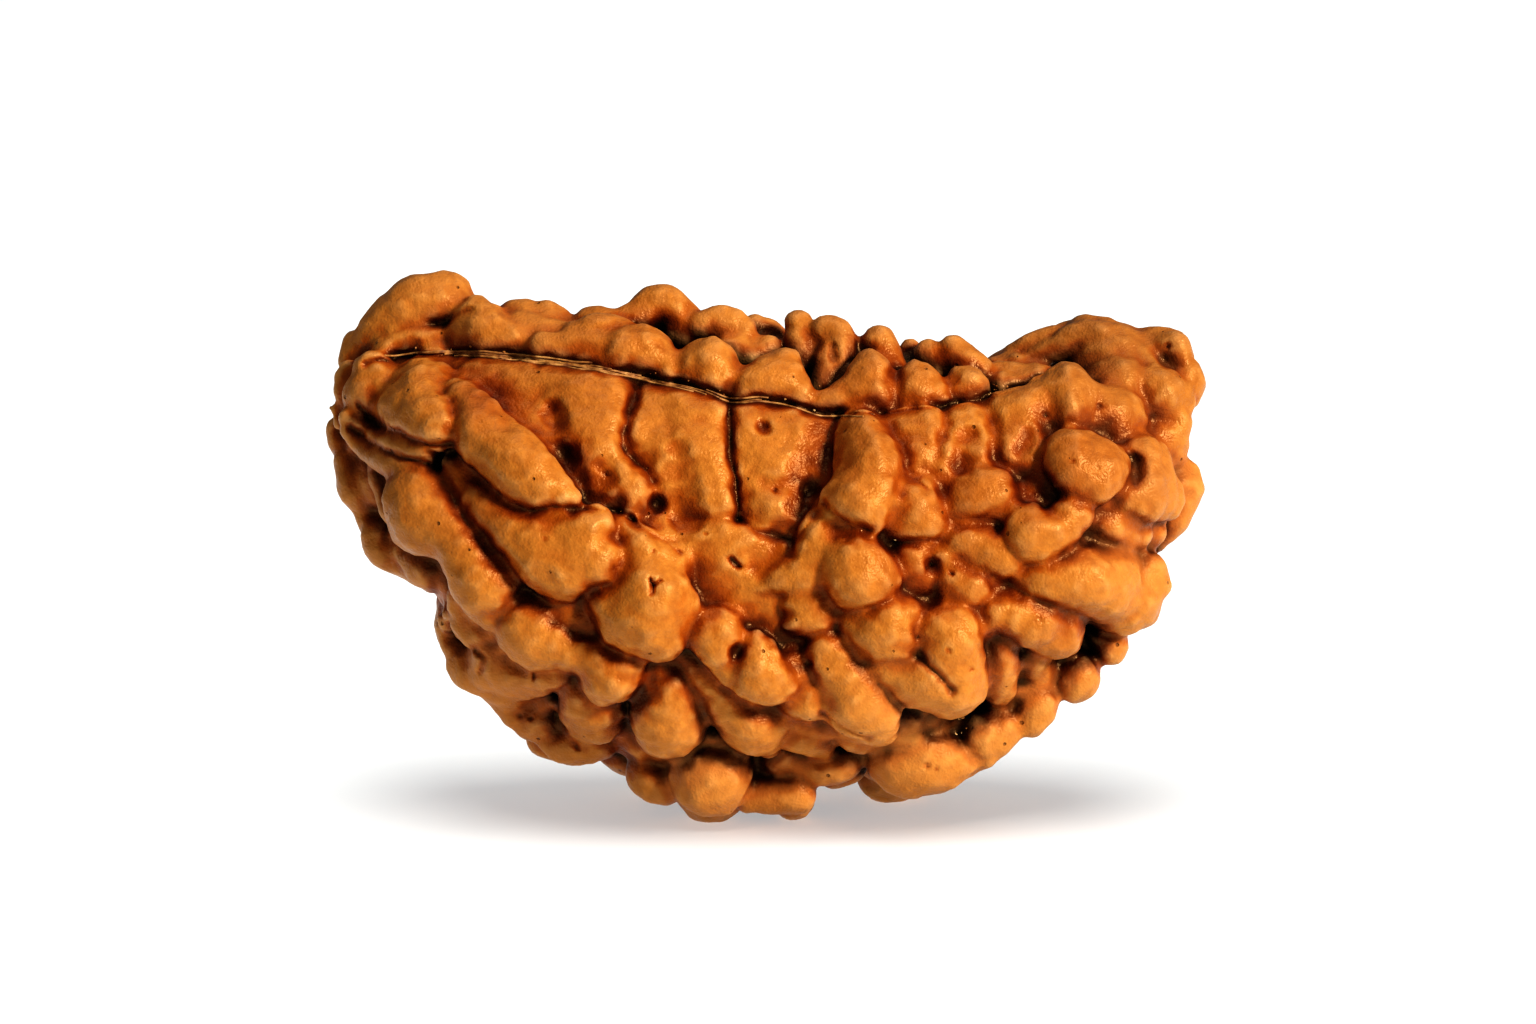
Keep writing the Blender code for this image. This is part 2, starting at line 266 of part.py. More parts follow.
# A chain is a narrow lobe: its name, its lift and the balls that it is threaded on, each with its radius.
CHAINS = [
    ("crown_heel", -0.9, [(-14.25, 15.5, 0.42), (-14.1, 16.1, 0.45)]),
    ("curl_a", 0.0, [(-14.3, 15.25, 0.3), (-13.7, 15.4, 0.26)]),
    ("curl_b", 0.0, [(-14.5, 14.95, 0.28), (-14.5, 14.4, 0.32), (-14.3, 14.0, 0.28)]),
    ("curl_tip", -0.4, [(-14.87, 13.95, 0.14), (-14.7, 13.75, 0.18), (-14.6, 13.35, 0.22)]),
    ("crest_a", -0.1, [(9.3, 15.6, 0.42), (10.1, 16.0, 0.5), (10.8, 16.4, 0.5), (11.5, 16.45, 0.48)]),
    ("crest_b", -0.3, [(11.4, 16.45, 0.46), (12.3, 16.35, 0.45), (13.1, 16.05, 0.42), (14.0, 16.0, 0.52),
        (14.2, 15.7, 0.5)]),
    ("crest_back", -0.6, [(8.2, 15.5, 0.45), (9.0, 15.95, 0.45), (9.9, 16.4, 0.45)]),
    ("facet_edge", 0.15, [(13.0, 15.9, 0.34), (13.25, 15.3, 0.36), (13.1, 14.7, 0.34)]),
    ("top_01", -0.2, [(-9.0, 16.7, 0.6), (-8.4, 16.95, 0.72), (-7.8, 16.8, 0.68)]),
    ("top_02", -0.2, [(-7.5, 16.95, 0.66), (-7.0, 16.6, 0.62)]),
    ("top_03", -0.1, [(-6.3, 16.6, 0.6), (-5.8, 16.75, 0.68), (-5.1, 16.65, 0.66)]),
    ("top_04", -0.1, [(-4.6, 16.9, 0.66), (-3.7, 17.4, 0.74), (-3.1, 17.1, 0.74), (-2.7, 16.5, 0.76)]),
    ("top_05", -0.2, [(-2.2, 16.75, 0.6), (-1.4, 16.8, 0.66), (-0.85, 16.5, 0.62), (-0.9, 15.9, 0.6)]),
    ("top_06", -0.8, [(-0.35, 16.55, 0.55), (0.2, 16.45, 0.52), (0.5, 16.2, 0.4)]),
    ("top_07", -0.1, [(1.15, 16.8, 0.48), (1.2, 16.1, 0.52), (1.3, 15.4, 0.5)]),
    ("top_08", 0.1, [(2.1, 16.55, 0.55), (2.5, 16.3, 0.66), (2.45, 15.6, 0.74), (2.2, 14.9, 0.66),
        (2.0, 14.5, 0.5)]),
    ("top_09", 0.1, [(3.85, 16.1, 0.62), (4.1, 15.6, 0.68), (4.35, 14.9, 0.6)]),
    ("top_10", -0.8, [(4.95, 15.95, 0.36), (5.1, 15.5, 0.45)]),
    ("top_11", -0.1, [(5.6, 15.7, 0.5), (5.95, 15.3, 0.52)]),
    ("top_12", 0.0, [(6.45, 15.8, 0.56), (6.8, 15.45, 0.62), (7.3, 15.2, 0.5)]),
    ("fold_a", 0.85, [(-14.3, 13.6, 0.28), (-13.5, 13.05, 0.36), (-12.6, 12.6, 0.4), (-11.6, 12.3, 0.46)]),
    ("fold_b", 0.7, [(-14.25, 13.1, 0.26), (-13.9, 12.6, 0.3), (-13.3, 12.25, 0.38), (-12.6, 11.9, 0.44),
        (-11.9, 11.8, 0.42)]),
    ("sliver", -0.2, [(-13.3, 11.8, 0.34), (-13.1, 11.0, 0.36), (-12.8, 10.3, 0.4)]),
    ("heel_a", -1.2, [(-14.65, 13.2, 0.44), (-14.45, 12.6, 0.5)]),
    ("heel_b", -1.2, [(-14.2, 12.0, 0.66), (-13.95, 11.3, 0.76), (-13.7, 10.8, 0.66)]),
    ("heel_c", -1.2, [(-13.85, 10.45, 0.34), (-13.6, 9.95, 0.4)]),
    ("heel_e", -0.8, [(-10.7, 7.95, 0.42), (-10.55, 7.3, 0.44)]),
    ("heel_l", -0.7, [(-7.6, 2.6, 0.7), (-6.6, 2.35, 0.72), (-5.6, 2.5, 0.66)]),
    ("right_i", 0.0, [(9.0, 11.9, 0.6), (9.6, 11.4, 0.6), (9.0, 10.8, 0.6), (10.2, 10.9, 0.7),
        (11.2, 10.6, 0.75), (12.2, 10.9, 0.75)]),
    ("bun_lip", 0.3, [(11.2, 7.2, 0.62), (12.0, 7.0, 0.72), (12.8, 7.0, 0.66)]),
    ("leg_d_skin", 0.2, [(-4.2, 2.8, 0.5), (-4.0, 2.3, 0.5)]),
    ("ball", 0.6, [(-1.5, 2.2, 0.9), (-1.87, 1.45, 1.54), (-1.95, 1.25, 1.3)]),
    ("ball_back", -0.1, [(-4.15, 1.6, 0.7), (-3.95, 1.2, 0.8), (-3.4, 1.1, 0.8)]),
    ("base_a", 0.0, [(-0.5, 0.75, 0.72), (0.3, 0.65, 0.75), (1.0, 0.75, 0.75)]),
    ("base_b", 0.35, [(0.9, 2.75, 0.6), (1.4, 2.7, 0.68), (1.9, 2.5, 0.6)]),
    ("base_c", 0.45, [(1.35, 1.75, 0.6), (1.9, 1.65, 0.68), (2.5, 1.75, 0.66), (2.95, 2.05, 0.5)]),
    ("worm_foot", 0.45, [(2.5, 10.2, 0.5), (3.1, 9.9, 0.5), (3.8, 9.75, 0.42)]),
    ("bulb_join", 0.75, [(5.1, 6.9, 0.42), (5.15, 6.3, 0.48), (5.2, 5.7, 0.42)]),
    ("top_13", -0.2, [(-1.2, 15.95, 0.45), (-0.5, 15.65, 0.5), (0.1, 15.95, 0.45)]),
    ("finger_d_tail", 0.5, [(-10.7, 12.0, 0.26), (-10.3, 11.4, 0.42), (-9.75, 10.8, 0.55),
        (-9.1, 10.2, 0.66)]),
    ("finger_f", 0.45, [(9.15, 5.45, 0.55), (9.3, 4.7, 0.7), (9.3, 3.9, 0.72), (9.08, 3.2, 0.6)]),
    ("finger_g", 0.45, [(8.0, 5.9, 0.55), (8.0, 5.2, 0.68), (8.0, 4.4, 0.62), (7.95, 3.85, 0.42)]),
    ("pea_a", 0.3, [(11.5, 6.15, 0.5), (11.8, 5.85, 0.64), (11.85, 5.65, 0.62)]),
    ("pea_b", 0.35, [(10.25, 4.9, 0.6), (10.65, 4.75, 0.85), (10.6, 4.5, 0.75)]),
    ("fill_a", 0.3, [(-7.4, 7.6, 0.4), (-6.6, 7.0, 0.45), (-6.0, 6.6, 0.38)]),
    ("fill_b", 0.35, [(2.35, 7.3, 0.36), (2.55, 6.6, 0.4)]),
    ("fill_c", 0.3, [(8.1, 7.95, 0.34), (8.75, 7.95, 0.32)]),
    ("fill_d", 0.2, [(8.1, 10.2, 0.34), (8.15, 9.8, 0.36)]),
    ("fill_e", 0.6, [(2.35, 9.95, 0.38), (2.8, 9.6, 0.42)]),
    ("fill_f", 0.35, [(-7.6, 10.5, 0.3), (-6.5, 10.45, 0.32), (-5.4, 10.4, 0.32)]),
    ("fill_g", 0.3, [(1.0, 3.2, 0.4), (1.8, 3.1, 0.4), (2.3, 2.9, 0.32)]),
    ("fill_h", 0.2, [(-2.1, 2.75, 0.38), (-1.4, 2.8, 0.38)]),
    ("fill_i", 0.1, [(-4.9, 3.1, 0.4), (-4.8, 2.4, 0.4), (-3.6, 1.75, 0.42)]),
    ("fill_j", 0.5, [(-10.5, 11.9, 0.34), (-9.9, 11.5, 0.42), (-9.1, 11.0, 0.42), (-8.3, 10.6, 0.34)]),
    ("fill_k", -0.2, [(10.7, 5.95, 0.45), (11.2, 5.55, 0.5)]),
    ("fill_l", 0.3, [(5.6, 3.3, 0.5), (6.4, 3.25, 0.6), (7.2, 3.6, 0.5)]),
    ("fill_seam", 0.0, [(-0.9, 14.12, 0.34), (0.2, 14.02, 0.4), (1.2, 13.88, 0.4), (2.2, 13.6, 0.4),
        (3.2, 13.6, 0.4), (4.3, 13.7, 0.4), (5.2, 13.78, 0.4), (6.2, 13.9, 0.4), (7.2, 14.1, 0.36)]),
    ("base_d", -0.4, [(2.3, 1.35, 0.55), (2.9, 1.6, 0.5)]),
]

# These stand upright behind the seam, from this height up or from their lower edge if that is higher.
STANDING = {
    "rim": 0.0, "rim_wall": 0.0, "rise_a": 0.0, "rise_b": 0.0, "rise_c": 0.0, "rise_d": 0.0, "rise_e": 0.0,
    "peak": 13.0,
    "top_01": 15.8, "top_02": 15.8, "top_03": 15.7, "top_04": 15.7, "top_05": 15.2, "top_06": 15.6,
    "top_07": 14.9, "top_08": 14.6, "top_09": 14.5, "top_10": 14.8, "top_11": 14.7, "top_12": 14.6,
    "top_13": 15.0,
}

# Swellings that fill the body under the lobes: x, y, z, radius.
SWELLINGS = [
    (-12.4, 1.2, 14.6, 1.35), (-9.6, 1.5, 15.0, 1.4), (-6.6, 1.8, 15.0, 1.5), (-3.6, 1.8, 15.0, 1.5),
    (-1.0, 1.8, 14.6, 1.5), (1.6, 1.8, 14.3, 1.5), (4.2, 1.8, 14.0, 1.4), (6.6, 1.6, 13.8, 1.4),
    (9.2, 1.2, 14.2, 1.4), (12.0, 0.9, 14.6, 1.3), (13.4, 0.9, 14.5, 1.1), (13.3, 0.8, 12.8, 1.3),
    (13.0, 0.8, 11.0, 1.4), (-13.3, 0.9, 13.2, 1.2), (-12.9, 0.9, 11.6, 1.4), (-11.6, 0.8, 9.6, 1.5),
    (-9.8, 0.6, 6.6, 1.7), (-7.4, 0.6, 4.2, 1.7), (9.6, 0.6, 5.4, 1.7), (12.0, 0.6, 8.2, 1.7),
    (-4.4, 0.6, 2.6, 1.6), (4.2, 0.8, 2.4, 1.6), (7.2, 0.7, 3.6, 1.6), (-13.6, 0.2, 14.6, 0.9),
    (0.0, 0.9, 2.2, 1.6), (11.0, 0.5, 6.7, 1.0), (-11.2, 0.8, 15.2, 1.1), (-13.4, 0.5, 15.4, 0.8),
    (0.0, 1.6, 15.6, 0.9),
]
# The lobes that carry the bead, which the resting plane cuts flat: their balls as x, y, z, radius.
FEET = [
    [(-1.9, -1.1, 1.15, 1.3)],
    [(1.0, -0.9, 0.75, 0.85)],
    [(0.6, 1.2, 1.3, 1.1)],
    [(-4.7, 2.6, 2.4, 0.9), (-4.1, 2.1, 1.4, 1.0)],
    [(-2.4, 3.6, 2.9, 0.95), (-2.3, 2.7, 1.4, 1.2), (-2.1, 1.9, 1.1, 1.2)],
    [(-0.2, 3.3, 2.3, 0.85), (0.1, 2.4, 1.3, 1.0)],
    [(2.3, 3.4, 2.6, 0.95), (2.2, 2.3, 1.5, 1.05)],
    [(4.7, 3.6, 2.9, 0.95), (4.6, 2.7, 1.2, 1.2), (4.3, 1.9, 1.0, 1.2)],
    [(6.7, 2.8, 3.2, 0.9), (6.4, 2.0, 2.3, 1.0)],
]

# Broad forms pressed in (or, with a negative depth, raised): half width, depth and course in the view.
HOLLOWS = [
    (1.1, -0.25, [(-5.7, 14.4), (-5.45, 13.3), (-5.3, 12.3), (-4.9, 11.4)]),
    (1.3, 0.25, [(-9.2, 14.5), (-8.0, 13.9)]),
    (0.5, 0.3, [(-7.2, 13.6)]),
    (0.45, 0.28, [(-6.72, 12.2)]),
    (0.4, 0.17, [(-5.4, 11.9), (-5.4, 11.5)]),
    (0.9, -0.19, [(-2.2, 14.0), (-2.0, 12.8), (-1.9, 11.5), (-1.8, 10.4)]),
    (0.6, 0.3, [(-2.9, 11.6), (-2.8, 11.0), (-2.65, 10.2)]),
    (0.3, 0.28, [(-3.62, 10.6)]),
    (0.35, 0.17, [(-2.95, 12.5)]),
    (0.9, 0.33, [(2.35, 12.9), (2.1, 12.1), (1.5, 11.2)]),
    (0.5, 0.17, [(2.45, 12.3)]),
    (0.32, 0.3, [(1.52, 11.15)]),
    (0.4, 0.17, [(0.25, 11.2)]),
    (0.6, -0.14, [(0.2, 10.6)]),
    (0.28, 0.3, [(-0.07, 13.17)]),
    (0.5, 0.17, [(0.3, 9.1), (-0.3, 8.7)]),
    (0.9, -0.19, [(-4.2, 9.6), (-4.1, 8.0), (-3.9, 6.6)]),
    (0.35, 0.11, [(-5.5, 9.5)]),
    (0.5, -0.17, [(10.3, 14.9), (10.4, 13.4)]),
    (0.45, 0.19, [(9.7, 14.2), (9.6, 13.3)]),
    (0.6, 0.19, [(11.4, 13.95), (11.5, 13.4)]),
    (0.3, 0.25, [(8.95, 12.95), (8.65, 12.45)]),
    (0.4, 0.28, [(6.85, 12.9), (6.65, 12.0)]),
    (0.45, 0.28, [(12.4, 11.85)]),
    (0.45, 0.19, [(6.6, 2.75)]),
    (0.25, 0.25, [(0.64, 6.87)]),
    (0.25, 0.28, [(-1.0, 5.6)]),
    (0.3, 0.25, [(-12.54, 14.95)]),
    (0.16, 0.22, [(2.33, 16.0), (2.35, 15.6)]),
    (0.4, 0.08, [(-3.4, 16.8)]),
    (0.3, 0.22, [(5.65, 8.55)]),
    (0.9, -0.11, [(5.0, 10.6), (5.2, 9.9)]),
    (0.5, 0.17, [(-7.6, 7.9), (-6.9, 7.0), (-6.2, 6.6)]),
]
# The seam and the clefts between the panels, pressed in the same way.
VALLEYS = [
    (0.3, 0.3, [(-13.6, 15.4), (-12.0, 15.65), (-10.0, 15.72), (-8.0, 15.52), (-6.0, 15.27),
        (-4.0, 14.92)]),
    (0.3, 0.3, [(-4.0, 14.92), (-2.0, 14.5), (-1.0, 14.12), (1.0, 13.95), (4.0, 13.67), (7.6, 14.3),
        (10.0, 15.25)]),
    (0.3, 0.25, [(-4.4, 14.6), (-4.65, 13.6), (-4.85, 13.0), (-4.7, 12.3), (-4.1, 11.8), (-3.8, 11.3)]),
    (0.28, 0.25, [(-1.22, 14.05), (-1.2, 13.0), (-1.12, 12.0), (-1.03, 11.3), (-0.9, 10.05)]),
]

# The far side, which the seam side hides: rows of drop-shaped lobes that fan out from above the top edge to
# the belly. Each row is its height between belly (0) and top edge (1), and its number of lobes. How the
# lobes bend, lean and swell within the limits below is drawn from SEED.
BACK_ROWS = [(0.03, 7), (0.22, 9), (0.41, 10), (0.6, 11), (0.8, 11)]
BACK_HALF_LENGTH = 13.0
BACK_FAN_CENTRE = 27.0
BACK_STAGGER = 0.25
BACK_NARROW = 0.28
BACK_RADII = (0.78, 1.02)
BACK_LENGTHS = (1.6, 2.7)
BACK_LIFTS = (0.1, 0.45)
BACK_SCATTER = 0.4
BACK_SCATTER_UP = 0.3
BACK_LEAN = 0.22
BACK_BEND = 0.25
BACK_TOP_OVER = 0.4
# One drop-shaped lobe: where along it each ball is, and its share of the radius.
DROP = [(-0.5, 0.7), (0.05, 1.0), (0.5, 0.92)]
# The underside: rows of short lobes at these depths, with their number, and one lobe's steps and radii.
UNDER_ROWS = [(-1.4, 9), (1.0, 9), (3.0, 8)]
UNDER_LOBE = [(-1, 0.7), (0, 0.9), (1, 0.75)]
UNDER_HALF_LENGTH = 9.5
UNDER_PLACE = (0.3, 0.7)
UNDER_ASIDE = (-0.5, 0.5)
UNDER_BACK = (0.4, 0.9)
UNDER_SWELL = (0.9, 1.2)

# The block whose top is the resting plane, in metres.
GROUND_SIZE = (0.04, 0.03, 0.01)

SHELL_COLOUR = (0.42, 0.155, 0.04, 1.0)
SHELL_ROUGHNESS = 0.5


def clear_scene():
    for obj in list(bpy.data.objects):
        bpy.data.objects.remove(obj)


def add_object(name, mesh, collection):
    obj = bpy.data.objects.new(name, mesh)
    collection.objects.link(obj)
    return obj


def belly_height(x):
    return CORE_BELLY + CORE_BELLY_RISE * (1.0 - math.sqrt(max(0.0, 1.0 - (x / BELLY_RADIUS) ** 2)))


def core_mesh():
    """The smooth half-moon under the lobes: a sphere drawn out along X, with a round belly and a leaning
    top."""
    bm = bmesh.new()
    bmesh.ops.create_uvsphere(bm, u_segments=48, v_segments=32, radius=1.0)
    for vert in bm.verts:
        along, round_y, round_z = vert.co.z, vert.co.x, vert.co.y
        x = CORE_HALF_LENGTH * along
        ring = math.hypot(round_y, round_z)
        blunt_y = math.sqrt(max(0.0, 1.0 - abs(along) ** END_BLUNT_DEPTH))
        blunt_z = math.sqrt(max(0.0, 1.0 - abs(along) ** END_BLUNT_HEIGHT))
        cos_a, sin_a = (round_y / ring, round_z / ring) if ring > 1e-9 else (0.0, 0.0)
        square_y = math.copysign(abs(cos_a) ** SECTION_SQUARE, cos_a)
        square_z = math.copysign(abs(sin_a) ** SECTION_SQUARE, sin_a)
        belly = belly_height(x)
        top = np.interp(x, *zip(*CORE_TOP))
        y = CORE_HALF_DEPTH * blunt_y * square_y
        z = 0.5 * (top + belly) + 0.5 * (top - belly) * blunt_z * square_z
        z += CORE_LEAN * y * min(1.0, max(0.0, (z - CORE_LEAN_FROM) / CORE_LEAN_OVER))
        vert.co = (x, y, z)
    bmesh.ops.recalc_face_normals(bm, faces=bm.faces)
    mesh = bpy.data.meshes.new("core")
    bm.to_mesh(mesh)
    bm.free()
    return mesh


def seat(tree, x, height, lift, foot=None):
    """The point seen at (x, height) in the view, on the core's near surface, raised towards the eye by lift.
    Beside the core it is where the line of sight passes nearest to it. Above a foot it stands upright."""
    if foot is not None and height > foot:
        return seat(tree, x, foot, lift) + (VIEW_UP + STAND_BACK * VIEW_AWAY) * (height - foot)
    start = Vector((x, 0.0, 0.0)) + VIEW_UP * height - VIEW_AWAY * VIEW_START
    hit = tree.ray_cast(start, VIEW_AWAY)[0]
    if hit is None:
        steps = [start + VIEW_AWAY * (SIGHT_FROM + SIGHT_STEP * i) for i in range(SIGHT_STEPS)]
        hit = min(steps, key=lambda point: tree.find_nearest(point)[3])
    return hit - VIEW_AWAY * lift


def spline(points, closed, step):
    """A smooth path through the points (Catmull-Rom), with samples about step apart."""
    points = [np.array(point, float) for point in points]
    if len(points) == 1:
        return points
    if closed:
        ends = [points[-1], *points, points[0], points[1]]
    else:
        ends = [2 * points[0] - points[1], *points, 2 * points[-1] - points[-2]]
    path = []
    for before, start, end, after in zip(ends, ends[1:], ends[2:], ends[3:]):
        count = max(1, math.ceil(np.linalg.norm(end - start) / step))
        for t in np.arange(count) / count:
            bend = (2 * before - 5 * start + 4 * end - after) * t**2
            twist = (3 * start - before - 3 * end + after) * t**3
            path.append(0.5 * (2 * start + (end - before) * t + bend + twist))
    return path if closed else [*path, points[-1]]


def thread(balls):
    """Balls along a smooth path through the given ones, close enough to make one lobe."""
    return spline(balls, False, BALL_STEP * min(ball[3] for ball in balls))


def course_gap(points, course):
    """How far each point is from the course, a broken line or a single point."""
    course = np.array(course, float)
    gap = np.linalg.norm(points - course[0], axis=1)
    for start, end in zip(course, course[1:]):
        along = np.clip((points - start) @ (end - start) / ((end - start) @ (end - start)), 0.0, 1.0)
        gap = np.minimum(gap, np.linalg.norm(points - start - along[:, None] * (end - start), axis=1))
    return gap


def inside(points, outline):
    """Which points lie in the closed outline: a line to the right of them crosses it an odd number of
    times."""
    odd = np.zeros(len(points), bool)
    for (x0, y0), (x1, y1) in zip(outline, [*outline[1:], outline[0]]):
        if y0 != y1:
            spans = (points[:, 1] < y0) != (points[:, 1] < y1)
            odd ^= spans & (points[:, 0] < x0 + (points[:, 1] - y0) / (y1 - y0) * (x1 - x0))
    return odd


def nearest_gap(points, others):
    """How far each point is from the nearest of the others."""
    tree = KDTree(len(others))
    for index, (x, y) in enumerate(others):
        tree.insert((x, y, 0.0), index)
    tree.balance()
    return np.array([tree.find((x, y, 0.0))[2] for x, y in points])


def outline_depth(grid, corners):
    """How far each grid point is outside the outline; inside it, less than nothing."""
    outline = spline(corners, True, OUTLINE_STEP)
    low, high = np.min(outline, axis=0) - FAR_GAP, np.max(outline, axis=0) + FAR_GAP
    near = np.flatnonzero(np.all((grid > low) & (grid < high), axis=1))
    gap = course_gap(grid[near], [*outline, outline[0]])
    depth = np.full(len(grid), FAR_GAP)
    depth[near] = np.where(inside(grid[near], outline), -gap, gap)
    return depth


def chain_depth(grid, path):
    """The same for a chain, as wide as its balls."""
    depth = np.full(len(grid), FAR_GAP)
    for x, height, radius in spline(path, False, OUTLINE_STEP):
        depth = np.minimum(depth, np.hypot(grid[:, 0] - x, grid[:, 1] - height) - radius)
    return depth


def pillow_regions(grid):
    """Which points of the grid each pillow covers. Narrow gaps between lobes go to the nearest lobe, and
    neighbours overlap a little."""
    depths = [outline_depth(grid, corners) for _name, _lift, _thick, corners in PILLOWS]
    depths += [chain_depth(grid, path) for _name, _lift, path in CHAINS]
    depths = np.array(depths)
    union = depths.min(axis=0)
    open_edge = grid[(union >= GAP_CLOSED) & (union < GAP_CLOSED + OPEN_EDGE)]
    gaps = np.flatnonzero((union > 0.0) & (union < GAP_CLOSED))
    gaps = gaps[nearest_gap(grid[gaps], open_edge) > GAP_CLOSED]
    owners = depths[:, gaps].argmin(axis=0)
    covered = union < 0.0
    covered[gaps] = True
    for index in range(len(PILLOWS)):
        region = (depths[index] < 0.0) | (covered & (depths[index] < OVERLAP))
        region[gaps[owners == index]] = True
        yield region


def pillow_balls(tree):
    """Each pillow as balls that just reach its edge, and are as thick as the pillow where it is wide. Where
    it is raised far it gets more layers of balls, its roots."""
    columns = np.arange(-GRID_RIGHT, GRID_RIGHT, GRID_STEP)
    across, up = np.meshgrid(columns, np.arange(GRID_LOW, GRID_TOP, GRID_STEP))
    shape = across.shape
    grid = np.stack([across.ravel(), up.ravel()], axis=1)
    rows, columns = np.indices(shape)
    balls = []
    for (name, lift, thick, corners), region in zip(PILLOWS, pillow_regions(grid)):
        picture = region.reshape(shape)
        edge = np.zeros(shape, bool)
        edge[1:-1, 1:-1] = ~picture[1:-1, 1:-1] & (
            picture[:-2, 1:-1] | picture[2:, 1:-1] | picture[1:-1, :-2] | picture[1:-1, 2:])
        chosen = picture & (rows % PILLOW_EVERY == 0) & (columns % PILLOW_EVERY == 0)
        spots = grid[chosen.ravel()]
        reach = nearest_gap(spots, grid[edge.ravel()]) - 0.5 * GRID_STEP + PILLOW_SPREAD
        leans = np.clip((spots - np.mean(corners, axis=0)) @ LEAN_WAY * LEAN, -LEAN_MOST, LEAN_MOST)
        for (x, height), radius, lean in zip(spots, reach, leans):
            if radius > PILLOW_LEAST * thick:
                foot = max(STANDING[name], spots[spots[:, 0] == x, 1].min()) if name in STANDING else None
                rise = lift + lean if lift > LEANING else lift
                top = seat(tree, x, height, rise, foot)
                for root in range(1 + max(0, int(rise / ROOT_DEPTH))):
                    balls.append(np.array([*(top + VIEW_AWAY * ROOT_DEPTH * root), min(radius, thick)]))
    return balls


def chain_balls(tree):
    balls = []
    for name, lift, path in CHAINS:
        foot = STANDING.get(name)
        seats = [[*seat(tree, x, height, lift, foot), CHAIN_SWELL * radius] for x, height, radius in path]
        balls += thread(seats)
    return balls


def drop_lobe(rng, tree, middle, lean, heading, radius, length):
    """A lobe of three balls that swells downwards, seated along heading. middle is where its ray starts."""
    balls = []
    bend = rng.uniform(-BACK_BEND, BACK_BEND)
    for step, swell in DROP:
        turn = lean + bend * step
        start = middle + Vector((math.sin(turn), 0.0, -math.cos(turn))) * step * length
        raised = rng.uniform(*BACK_LIFTS)
        hit = tree.ray_cast(start, heading)[0]
        if hit is not None:
            balls.append(np.array([*(hit - heading * raised), radius * swell]))
    return thread(balls) if balls else []


def back_balls(rng, tree):
    """Lobes on the far side."""
    balls = []
    for row, (level, count) in enumerate(BACK_ROWS):
        spread = BACK_HALF_LENGTH * (1.0 - BACK_NARROW + BACK_NARROW * level**0.5)
        for i in range(count):
            x = spread * (2.0 * (i + 0.5 + BACK_STAGGER * (-1) ** row) / count - 1.0)
            x += rng.uniform(-BACK_SCATTER, BACK_SCATTER)
            low = belly_height(x)
            top = np.interp(x, *zip(*CORE_TOP)) + BACK_TOP_OVER
            z = low + (top - low) * level + rng.uniform(-BACK_SCATTER_UP, BACK_SCATTER_UP)
            lean = math.atan2(x, BACK_FAN_CENTRE - z) + rng.uniform(-BACK_LEAN, BACK_LEAN)
            middle = Vector((x, VIEW_START, z))
            radius, length = rng.uniform(*BACK_RADII), rng.uniform(*BACK_LENGTHS)
            balls += drop_lobe(rng, tree, middle, lean, Vector((0.0, -1.0, 0.0)), radius, length)
    return balls


def under_balls(rng, tree):
    """Lobes on the underside."""
    balls = []
    for y, count in UNDER_ROWS:
        for i in range(count):
            x = UNDER_HALF_LENGTH * (2.0 * (i + rng.uniform(*UNDER_PLACE)) / count - 1.0)
            hit = tree.ray_cast(Vector((x, y, -VIEW_START)), Vector((0.0, 0.0, 1.0)))[0]
            if hit is not None:
                side = Vector((rng.uniform(*UNDER_ASIDE), rng.uniform(*UNDER_BACK), 0.0))
                swell = rng.uniform(*UNDER_SWELL)
                lobe = [np.array([*(hit + side * step), swell * radius]) for step, radius in UNDER_LOBE]
                balls += thread(lobe)
    return balls


def ball_mesh(balls, core):
    """One mesh that holds a small sphere for every ball, and the core."""
    bm = bmesh.new()
    bmesh.ops.create_icosphere(bm, subdivisions=2, radius=1.0)
    unit = np.array([vert.co for vert in bm.verts])
    corners = np.array([[vert.index for vert in face.verts] for face in bm.faces])
    bm.free()
    balls = np.array(balls)
    points = (unit[None] * balls[:, None, 3:] + balls[:, None, :3]).reshape(-1, 3)
    faces = (corners[None] + len(unit) * np.arange(len(balls))[:, None, None]).reshape(-1, 3)
    core.calc_loop_triangles()
    core_points = np.array([vert.co + vert.normal * CORE_SWELL for vert in core.vertices])
    core_faces = np.array([tri.vertices[:] for tri in core.loop_triangles])
    points = np.concatenate([points, core_points])
    faces = np.concatenate([faces, core_faces + len(points) - len(core_points)])
    mesh = bpy.data.meshes.new("lobes")
    mesh.from_pydata(points * MM, [], faces)
    return mesh


def largest_shell(mesh):
    """Drops the closed pockets that the fused lobes leave inside."""
    bm = bmesh.new()
    bm.from_mesh(mesh)
    bm.verts.ensure_lookup_table()
    unseen = set(range(len(bm.verts)))
    shells = []
    while unseen:
        stack = [bm.verts[unseen.pop()]]
        shell = list(stack)
        while stack:
            for edge in stack.pop().link_edges:
                for vert in edge.verts:
                    if vert.index in unseen:
                        unseen.remove(vert.index)
                        stack.append(vert)
                        shell.append(vert)
        shells.append(shell)
    keep = max(shells, key=len)
    kept = {vert.index for vert in keep}
    bmesh.ops.delete(bm, geom=[vert for vert in bm.verts if vert.index not in kept], context="VERTS")
    bm.to_mesh(mesh)
    bm.free()


